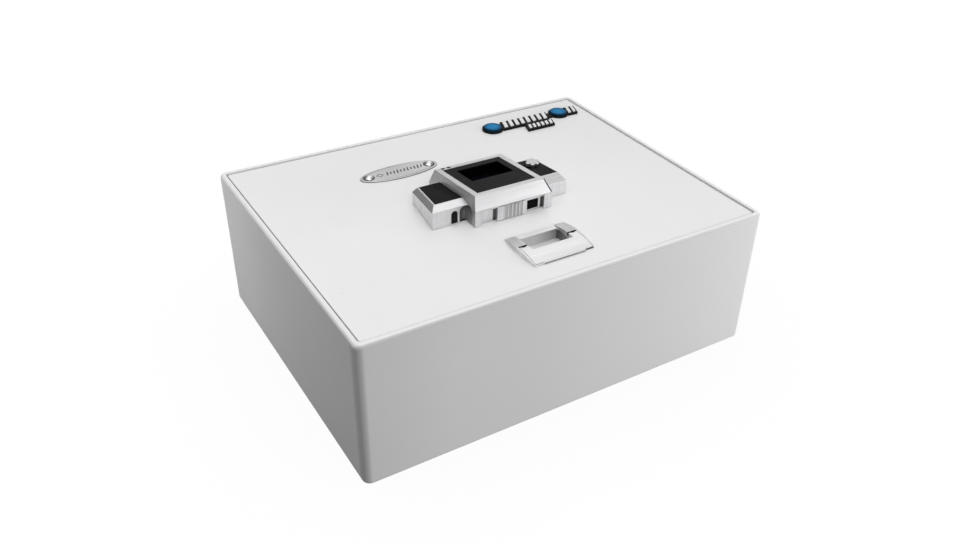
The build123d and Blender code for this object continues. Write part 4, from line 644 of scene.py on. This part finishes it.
# ------------------------------------------------------------------ glass and inserts
def glass_dark(name):
    """Coated optical window, near black, faintly tinted by angle, with finger marks."""
    mat = Material(name)
    tint = mat.ramp(mat.facing_ratio(blend=0.35), [
        (0.0, (0.002, 0.0025, 0.0035)), (0.5, (0.003, 0.003, 0.006)),
        (1.0, (0.003, 0.007, 0.006))])
    smear = mat.patches(scale=240.0, detail=4.0, rough=0.6, distortion=1.2, over=(0.4, 0.8))
    ridge = mat.add("ShaderNodeTexWave", wave_type="RINGS", rings_direction="Z")
    mat.link(mat.scaled((1, 1, 1)), ridge.inputs["Vector"])
    ridge.inputs["Scale"].default_value = 340.0
    ridge.inputs["Distortion"].default_value = 3.0
    prints = mat.times(smear, mat.fit(ridge.outputs["Fac"], over=(0.3, 0.7)))
    mat.set(Base_Color=tint, Roughness=mat.plus(0.05, prints, amount=0.20),
            Specular_IOR_Level=0.10, Coat_Weight=0.04, Coat_Roughness=0.03,
            Normal=mat.rounded(radius=0.0003))
    return mat.data


def lens(name):
    """Smoked lens, its tint changing with the angle of view."""
    mat = Material(name)
    base = mat.mix(mat.facing_ratio(blend=0.4), (0.030, 0.012, 0.010), (0.010, 0.010, 0.012))
    haze = mat.patches(scale=1200.0, over=(0.4, 0.7))
    base = mat.mix(haze, base, (0.05, 0.045, 0.045), amount=0.3)
    mat.set(Base_Color=base, Roughness=mat.patches(scale=500.0, to=(0.10, 0.22)),
            Coat_Weight=0.5, Coat_Roughness=0.05, Normal=mat.rounded(radius=0.0003))
    return mat.data


def badge_disc(name, centres, radius):
    """Domed blue insert: bright in the middle, deeper at the rim, with a metallic fleck."""
    mat = Material(name)
    distances = []
    for x, y in centres:
        flat = mat.add("ShaderNodeCombineXYZ")
        mat.link(mat.axis("X"), flat.inputs[0])
        mat.link(mat.axis("Y"), flat.inputs[1])
        distances.append(mat.vector_value("DISTANCE", flat.outputs[0], (x, y, 0)))
    body = mat.ramp(mat.math("DIVIDE", mat.least(distances), radius), [
        (0.0, (0.002, 0.23, 0.48)), (0.50, (0.002, 0.19, 0.44)), (0.74, (0.001, 0.11, 0.29)),
        (0.88, (0.001, 0.045, 0.13)), (1.0, (0.0005, 0.012, 0.035))])
    fleck = mat.fit(mat.cells(scale=2600.0), over=(0.1, 0.5))
    body = mat.mix(fleck, body, (0.01, 0.32, 0.58), amount=0.10)
    mat.set(Base_Color=body, Roughness=mat.patches(scale=300.0, detail=3.0, to=(0.20, 0.30)),
            Specular_IOR_Level=0.05, Specular_Tint=(0.15, 0.6, 1.0),
            Coat_Weight=0.0, Coat_Roughness=0.06,
            Normal=mat.bump(mat.noise(scale=120.0), distance=0.0002, strength=0.35,
                            normal=mat.rounded(radius=0.0005)))
    return mat.data


def gloss(name, colour, rough):
    """Glossy lacquered insert with faint waviness and wipe marks."""
    mat = Material(name)
    soft = mat.rounded(radius=0.0003)
    base = mat.mix(mat.patches(scale=45.0, detail=3.0), shade(colour, 0.93), colour)
    edge = mat.edges(soft, gain=2.2)
    base = mat.mix(edge, base, shade(colour, 1.15, lift=0.03), amount=0.4)
    wipe = mat.patches(stretch=(60.0, 700.0, 300.0), turn=(0, 0, 0.4), detail=3.0, rough=0.6,
                       over=(0.4, 0.75))
    mat.set(Base_Color=base, Roughness=mat.plus(rough, wipe, amount=0.10),
            Coat_Weight=0.5, Coat_Roughness=0.05,
            Normal=mat.bump(mat.noise(scale=260.0), distance=0.00004, strength=0.35,
                            normal=soft))
    return mat.data


def board(name):
    """Solder mask over copper: lighter traces, via dots."""
    mat = Material(name)
    traces = mat.add("ShaderNodeTexBrick")
    mat.link(mat.scaled((110.0, 110.0, 110.0)), traces.inputs["Vector"])
    for key, value in (("Color1", (0.012, 0.085, 0.030)), ("Color2", (0.010, 0.070, 0.026)),
                       ("Mortar", (0.030, 0.170, 0.060)), ("Mortar Size", 0.05)):
        mat.put(traces.inputs[key], value)
    vias = mat.fit(mat.cells(scale=420.0), over=(0.10, 0.14), to=(1.0, 0.0))
    base = mat.mix(vias, traces.outputs["Color"], (0.55, 0.50, 0.36), amount=0.8)
    height = mat.plus(traces.outputs["Fac"], mat.noise(scale=1500.0))
    mat.set(Base_Color=base, Roughness=mat.patches(scale=400.0, to=(0.28, 0.42)),
            Coat_Weight=0.3, Normal=mat.bump(height, distance=0.00003, strength=0.5,
                                             normal=mat.rounded(radius=0.0001)))
    return mat.data


def cell_wrap(name):
    """Battery jacket: two plain bands along the cell, glossy film, bare steel ends."""
    mat = Material(name)
    low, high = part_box("batteries")
    base = mat.ramp(mat.along("Y", over=(low.y, high.y)), [
        (0.0, grey(0.50)), (0.05, (0.015, 0.016, 0.018)), (0.62, (0.018, 0.019, 0.021)),
        (0.66, (0.60, 0.30, 0.05)), (0.95, (0.66, 0.34, 0.06)), (1.0, grey(0.55))])
    scuff = mat.patches(scale=300.0, detail=3.0, over=(0.4, 0.7))
    base = mat.mix(scuff, base, grey(0.2), amount=0.2)
    mat.set(Base_Color=base, Metallic=0.35, Coat_Weight=0.4,
            Roughness=mat.patches(scale=80.0, detail=3.0, to=(0.22, 0.36)),
            Normal=mat.bump(mat.noise(scale=700.0), distance=0.00003, strength=0.3,
                            normal=mat.rounded(radius=0.0003)))
    return mat.data


def ink(name):
    """Dark fill of an engraved mark."""
    mat = Material(name)
    base = mat.mix(mat.patches(scale=1800.0), (0.06, 0.06, 0.065), (0.13, 0.13, 0.135))
    mat.set(Base_Color=base, Roughness=mat.patches(scale=900.0, to=(0.45, 0.62)),
            Normal=mat.bump(mat.noise(scale=2200.0), distance=0.00003, strength=0.6))
    return mat.data


# ------------------------------------------------------------------ materials by slot
BLACK = (0.0065, 0.0065, 0.0068)
BADGES = [(0.0793, 0.1198), (0.1653, 0.1212)]  # x, y of the two badge centres

MATERIALS = {
    "box_paint": powder("powder_coat_box", (0.91, 0.91, 0.913), rough=0.50, peel=0.00006,
                        tones=box_painted_shade),
    "lid_paint": powder("powder_coat_lid", (0.925, 0.925, 0.927), rough=0.42, peel=0.00004,
                        tones=lid_painted_shade),
    "mat_foam": felt("needle_felt", (0.030, 0.031, 0.034)),
    "zinc_steel": steel("zinc_plate", grey(0.62), rough=0.30),
    "cast_satin": cast("satin_casting", (0.80, 0.80, 0.81), rough=0.36, radius=0.00045,
                       hollows=module_shade_tones),
    "pull_satin": cast("satin_pull", (0.80, 0.80, 0.805), rough=0.38, radius=0.0004,
                       brushing=0.8, hollows=pull_caps_and_shadow, sheet=cup_skin_and_shade),
    "black_gloss": moulded("black_gloss", BLACK, rough=0.38, grain=0.000012, spec=0.065,
                           deep=window_well_shade),
    "black_satin": moulded("black_satin", BLACK, rough=0.44, grain=0.00003, spec=0.065),
    "rubber_black": rubber("black_rubber", (0.009, 0.009, 0.0095)),
    "sensor_glass": glass_dark("sensor_window"),
    "led_lens": lens("smoked_lens"),
    "knob_chrome": chrome("knob_chrome", (0.60, 0.60, 0.61), rough=0.24, radius=0.0005),
    "brass": steel("turned_brass", (0.72, 0.55, 0.28), rough=0.28,
                   tool_marks=(90.0, 90.0, 5200.0)),
    "bolt_steel": steel("turned_steel", (0.66, 0.66, 0.67), rough=0.24,
                        tool_marks=(90.0, 5200.0, 90.0)),
    "plate_brushed": brushed_plate("brushed_plate", (0.70, 0.70, 0.71)),
    "rivet_chrome": chrome("rivet_polish", (0.93, 0.93, 0.94), rough=0.24, radius=0.0003),
    "badge_blue": badge_disc("badge_blue", BADGES, radius=0.0096),
    "badge_white": gloss("badge_white", (0.86, 0.86, 0.865), rough=0.22),
    "board_green": board("solder_mask"),
    "button_red": gloss("button_red", (0.52, 0.020, 0.016), rough=0.26),
    "cell_jacket": cell_wrap("cell_jacket"),
    "cable_grey": moulded("cable_sheath", (0.22, 0.22, 0.23), rough=0.48, grain=0.00002),
    "cover_black": powder("powder_coat_cover", (0.040, 0.040, 0.043), rough=0.46,
                          peel=0.00007, spec=0.4, wear=0.5),
    "acetal": moulded("natural_acetal", (0.72, 0.72, 0.68), rough=0.38, grain=0.00001),
}
BAIL = cast("satin_bail", (0.80, 0.80, 0.805), rough=0.38, radius=0.0004, brushing=0.8,
            hollows=bail_shadow)
MARK = ink("engraved_fill")


def dress_frame():
    """Give every CAD piece the material of its slot; the bail has its own."""
    slot_of = {part["node"]: part["material_slot"] for part in frame["record"]["subparts"]}
    for node, piece in frame["nodes"].items():
        material = BAIL if node == "pull_bail" else MATERIALS[slot_of[node]]
        if not piece.material_slots:
            piece.data.materials.append(material)
        for slot in piece.material_slots:
            slot.material = material


dress_frame()


# ------------------------------------------------------------------ new pieces
def link_mesh(bm, name, material, smooth=True):
    mesh = bpy.data.meshes.new(name)
    bm.to_mesh(mesh)
    bm.free()
    for face in mesh.polygons:
        face.use_smooth = smooth
    piece = bpy.data.objects.new(name, mesh)
    SCENE.collection.objects.link(piece)
    mesh.materials.append(material)
    return piece


FELT_STEP = 0.004  # grid spacing of the sheet
FELT_CORNER = 0.004  # corner radius
HOLE_RADIUS = 0.012
HOLES = [(sx * 0.125, sy * 0.075) for sx in (1, -1) for sy in (1, -1)]
FIBRE_TRIES = 16000
FIBRE_HALF_WIDTH = 0.00006


def round_corner(x, y, high):
    """Pull a point of the felt rectangle in to its rounded corner."""
    over_x = max(abs(x) - (high.x - FELT_CORNER), 0.0)
    over_y = max(abs(y) - (high.y - FELT_CORNER), 0.0)
    reach = math.hypot(over_x, over_y)
    if over_x > 0 and over_y > 0 and reach > FELT_CORNER:
        x = math.copysign(high.x - FELT_CORNER + over_x * FELT_CORNER / reach, x)
        y = math.copysign(high.y - FELT_CORNER + over_y * FELT_CORNER / reach, y)
    return x, y


def felt_sheet(bm, low, high):
    """The flat grid with four round holes."""
    count_x = round((high.x - low.x) / FELT_STEP)
    count_y = round((high.y - low.y) / FELT_STEP)
    grid = [[None] * (count_y + 1) for _ in range(count_x + 1)]
    for i in range(count_x + 1):
        for j in range(count_y + 1):
            x = low.x + (high.x - low.x) * i / count_x
            y = low.y + (high.y - low.y) * j / count_y
            grid[i][j] = bm.verts.new((*round_corner(x, y, high), low.z))
    for i in range(count_x):
        for j in range(count_y):
            quad = [grid[i][j], grid[i + 1][j], grid[i + 1][j + 1], grid[i][j + 1]]
            mid = sum((v.co for v in quad), Vector()) / 4
            if all(math.hypot(mid.x - hx, mid.y - hy) > HOLE_RADIUS for hx, hy in HOLES):
                bm.faces.new(quad)
    loose = [v for v in bm.verts if not v.link_faces]
    bmesh.ops.delete(bm, geom=loose, context="VERTS")
    # draw the stepped rim of each hole onto its circle
    for v in bm.verts:
        if v.is_boundary:
            for hx, hy in HOLES:
                reach = math.hypot(v.co.x - hx, v.co.y - hy)
                if reach < HOLE_RADIUS * 1.6:
                    v.co.x = hx + (v.co.x - hx) * HOLE_RADIUS / reach
                    v.co.y = hy + (v.co.y - hy) * HOLE_RADIUS / reach


def raise_felt(bm, thickness):
    """Thicken the sheet upwards, with slight waves in its top."""
    inset, wave_height = 0.0004, 0.00045
    top = bmesh.ops.extrude_face_region(bm, geom=list(bm.faces))
    for v in top["geom"]:
        if isinstance(v, bmesh.types.BMVert):
            x, y = v.co.x, v.co.y
            wave = (noise.noise(Vector((x * 16, y * 16, 0.3))) * 0.55
                    + noise.noise(Vector((x * 47, y * 47, 4.0))) * 0.25)
            v.co.z += thickness - inset + wave_height * wave
    bmesh.ops.recalc_face_normals(bm, faces=bm.faces)


def add_fibres(bm, low, high):
    """Thin triangular fibres leaning out of the top, kept clear of the holes."""
    rim, root_depth, tip_limit, hole_margin = 0.001, 0.00062, 0.0004, 0.0012
    rnd = random.Random(11)
    for _ in range(FIBRE_TRIES):
        x = rnd.uniform(low.x + rim, high.x - rim)
        y = rnd.uniform(low.y + rim, high.y - rim)
        if any(math.hypot(x - hx, y - hy) < HOLE_RADIUS + hole_margin for hx, hy in HOLES):
            continue
        angle = rnd.uniform(0, 2 * math.pi)
        lean = rnd.uniform(0.2, 1.1)
        length = rnd.uniform(0.0006, 0.0016)
        dx, dy = math.cos(angle), math.sin(angle)
        root = Vector((x, y, high.z - root_depth))
        rise = Vector((dx * math.sin(lean), dy * math.sin(lean), math.cos(lean)))
        tip = root + rise * length
        tip.z = min(tip.z, high.z + tip_limit)
        side = Vector((-dy, dx, 0)) * FIBRE_HALF_WIDTH
        bm.faces.new([bm.verts.new(p) for p in (root + side, root - side, tip)])


def soften_edges(piece):
    """Round the sharp edges and keep the result as the mesh."""
    bevel = piece.modifiers.new("soft", "BEVEL")
    bevel.width = 0.0015
    bevel.segments = 3
    bevel.limit_method = "ANGLE"
    bevel.angle_limit = math.radians(50)
    graph = bpy.context.evaluated_depsgraph_get()
    mesh = bpy.data.meshes.new_from_object(piece.evaluated_get(graph), depsgraph=graph)
    piece.modifiers.clear()
    piece.data = mesh


def felt_pad():
    """The floor lining: a die-cut felt sheet with soft edges, waves, lint and four holes."""
    low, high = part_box("floor_mat")
    bm = bmesh.new()
    felt_sheet(bm, low, high)
    raise_felt(bm, high.z - low.z)
    piece = link_mesh(bm, "felt_pad", MATERIALS["mat_foam"])
    soften_edges(piece)
    bm = bmesh.new()
    bm.from_mesh(piece.data)
    add_fibres(bm, low, high)
    bm.to_mesh(piece.data)
    bm.free()
    for face in piece.data.polygons:
        face.use_smooth = True
    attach(piece, "box")
    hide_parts("floor_mat")


MARK_SINK = 0.00002  # how far the marks reach into the nameplate


def finish_mark(bm, name, smooth):
    bmesh.ops.recalc_face_normals(bm, faces=bm.faces)
    piece = link_mesh(bm, name, MARK, smooth)
    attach(piece, "lid")


def plate_strokes(cx, cy, top):
    """A row of short slanted strokes with a plain lozenge outline to its left."""
    bm = bmesh.new()

    def prism(points):
        bottom = [bm.verts.new((x, y, top - MARK_SINK)) for x, y in points]
        upper = [bm.verts.new((x, y, top + 0.00005)) for x, y in points]
        bm.faces.new(upper)
        bm.faces.new(bottom[::-1])
        for i in range(len(points)):
            j = (i + 1) % len(points)
            bm.faces.new([bottom[i], bottom[j], upper[j], upper[i]])

    first, pitch, half_width, slant = -0.0128, 0.00365, 0.00078, 0.30
    half_heights = (0.0034, 0.0022, 0.0028)
    for k in range(11):
        x = cx + first + k * pitch
        half = half_heights[k % 3]
        lean = half * slant
        prism([(x - half_width - lean, cy - half), (x + half_width - lean, cy - half),
               (x + half_width + lean, cy + half), (x - half_width + lean, cy + half)])

    middle = cx - 0.0206
    half_x, half_y, line = 0.0040, 0.0034, 0.0011
    corners = [(1, 0), (0, 1), (-1, 0), (0, -1)]
    for i in range(4):
        (ax, ay), (bx, by) = corners[i], corners[(i + 1) % 4]
        prism([(middle + ax * half_x, cy + ay * half_y),
               (middle + bx * half_x, cy + by * half_y),
               (middle + bx * (half_x - line), cy + by * (half_y - line)),
               (middle + ax * (half_x - line), cy + ay * (half_y - line))])
    finish_mark(bm, "nameplate_strokes", smooth=False)


def plate_line(cx, cy, top, half_x, half_y):
    """A thin oval line just inside the rim of the nameplate."""
    margin, width, height, segments = 0.0018, 0.00028, 0.00004, 128
    profile = ((0.0, -MARK_SINK), (0.0, height), (width, height), (width, -MARK_SINK))
    radius_x, radius_y = half_x - margin, half_y - margin
    angles = [2 * math.pi * i / segments for i in range(segments)]
    bm = bmesh.new()
    rings = [[bm.verts.new((cx + (radius_x - inset) * math.cos(angle),
                            cy + (radius_y - inset) * math.sin(angle), top + rise))
              for angle in angles] for inset, rise in profile]
    for outer, inner in zip(rings, rings[1:]):
        for i in range(segments):
            j = (i + 1) % segments
            bm.faces.new([outer[i], outer[j], inner[j], inner[i]])
    finish_mark(bm, "nameplate_line", smooth=True)


def plate_marks():
    low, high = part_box("nameplate")
    cx, cy = (low.x + high.x) / 2, (low.y + high.y) / 2
    plate_strokes(cx, cy, high.z)
    plate_line(cx, cy, high.z, (high.x - low.x) / 2, (high.y - low.y) / 2)


felt_pad()
plate_marks()


# ------------------------------------------------------------------ floor, light, camera
def make_floor():
    """Dark to the light in the scene, near white to the camera, with painted contact shadow near
    the safe.
    """
    bm = bmesh.new()
    bmesh.ops.create_grid(bm, x_segments=24, y_segments=24, size=6.0)
    for v in bm.verts:
        v.co.z = -0.0003
    mat = Material("pale_floor")
    tone = mat.mix(mat.patches(scale=3.0, detail=3.0), grey(0.12), grey(0.13))
    mat.set(Base_Color=tone, Roughness=0.9, Specular_IOR_Level=0.1)
    contact_shadow = mat.add("ShaderNodeAmbientOcclusion", samples=12)
    contact_shadow.inputs["Distance"].default_value = 0.16
    bright = mat.fit(contact_shadow.outputs["AO"], over=(0.42, 0.98), to=(0.97, 1.0))
    glow = mat.add("ShaderNodeEmission")
    mat.link(mat.grey_of(bright), glow.inputs["Color"])
    glow.inputs["Strength"].default_value = 1.0
    mat.link(mat.camera_split(mat.bsdf.outputs[0], glow.outputs[0]), mat.output)
    link_mesh(bm, "floor", mat.data)


# soft studio surround: name, direction and strength of each broad glow
GLOWS = [
    ("back_right_low", (0.6917, 0.6917, 0.2079), 0.31),
    ("back_right", (0.5417, 0.5417, 0.6428), 1.30),
    ("front_left_low", (-0.6917, -0.6917, 0.2079), 0.10),
    ("front_left", (-0.5417, -0.5417, 0.6428), 0.49),
    ("front", (0, -0.766, 0.6428), 2.60),
    ("back_high", (0, 0.4226, 0.9063), 0.74),
]
GLOW_SHARPNESS = 8.0


def make_world():
    """The glows light the scene; the camera sees plain white."""
    world = bpy.data.worlds.new("studio")
    SCENE.world = world
    world.use_nodes = True
    nodes = Nodes(world.node_tree)
    output = nodes.add("ShaderNodeOutputWorld")
    ray = nodes.add("ShaderNodeTexCoord").outputs["Generated"]
    glows = []
    for name, direction, strength in GLOWS:
        aim = nodes.vector_value("DOT_PRODUCT", ray, Vector(direction).normalized())
        falloff = nodes.add("ShaderNodeMath", operation="EXPONENT")
        nodes.link(nodes.times(nodes.minus(aim, 1.0), GLOW_SHARPNESS), falloff.inputs[0])
        glow = nodes.times(falloff.outputs[0], strength)
        glow.node.name = "glow_" + name
        glows.append(glow)
    soft = nodes.add("ShaderNodeBackground")
    nodes.link(reduce(nodes.plus, glows), soft.inputs["Strength"])
    white = nodes.add("ShaderNodeBackground")
    white.inputs["Strength"].default_value = 1.0
    both = nodes.camera_split(soft.outputs[0], white.outputs[0])
    nodes.link(both, output.inputs["Surface"])
    world.cycles.sampling_method = "MANUAL"
    world.cycles.sample_map_resolution = 512


# name, place, point aimed at, width and height, watts
SOFTBOXES = [
    ("right_front_near", (0.62, -0.55, 0.22), (0.25, -0.16, 0.07), (0.25, 0.25), 1.60),
    ("right_near", (0.60, -0.30, 0.30), (0.2, -0.1, 0.12), (0.3, 0.3), 0.21),
    ("left_back_near", (-0.55, 0.40, 0.34), (-0.2, 0.12, 0.1), (0.3, 0.3), 0.06),
    ("left_high", (-0.7, 0.15, 0.75), (-0.15, 0.0, 0.1), (0.5, 0.5), 0.74),
    ("top_near", (-0.17, -0.06, 0.8), (-0.15, 0.01, 0.14), (0.6, 0.4), 0.95),
    ("left_back_low", (-0.42, 0.24, 0.11), (-0.205, 0.10, 0.07), (0.12, 0.12), 0.18),
]


def softbox(name, place, target, size, watts):
    light = bpy.data.lights.new(name, "AREA")
    light.shape = "RECTANGLE"
    light.size, light.size_y = size
    light.energy = watts
    lamp = bpy.data.objects.new(name, light)
    lamp.location = place
    lamp.rotation_mode = "QUATERNION"
    aim = Vector(target) - Vector(place)
    lamp.rotation_quaternion = aim.to_track_quat("-Z", "Y")
    SCENE.collection.objects.link(lamp)


def make_camera():
    """Looks down on the safe from the front left."""
    place = (-0.403023, -0.659710, 0.556463)
    azimuth, elevation, roll = -0.5915851, 0.5911658, 0.0428912  # radians
    back = Vector((math.sin(azimuth) * math.cos(elevation),
                   -math.cos(azimuth) * math.cos(elevation), math.sin(elevation)))
    level = Vector((0, 0, 1)).cross(back).normalized()
    upright = back.cross(level)
    right = math.cos(roll) * level + math.sin(roll) * upright
    up = -math.sin(roll) * level + math.cos(roll) * upright
    matrix = Matrix((right, up, back)).transposed().to_4x4()
    matrix.translation = Vector(place)
    data = bpy.data.cameras.new("camera")
    data.sensor_width = 36.0
    data.lens = 34.095003681
    # shifts as fractions of the picture width
    data.shift_x = -0.029742638
    data.shift_y = 0.0101316973
    data.clip_start, data.clip_end = 0.02, 60.0
    camera = bpy.data.objects.new("camera", data)
    SCENE.collection.objects.link(camera)
    camera.matrix_world = matrix
    SCENE.camera = camera


make_floor()
make_world()
for box in SOFTBOXES:
    softbox(*box)
make_camera()
SCENE.view_settings.view_transform = "Standard"
SCENE.view_settings.look = "None"
SCENE.view_settings.exposure = 0.0
SCENE.view_settings.gamma = 1.0
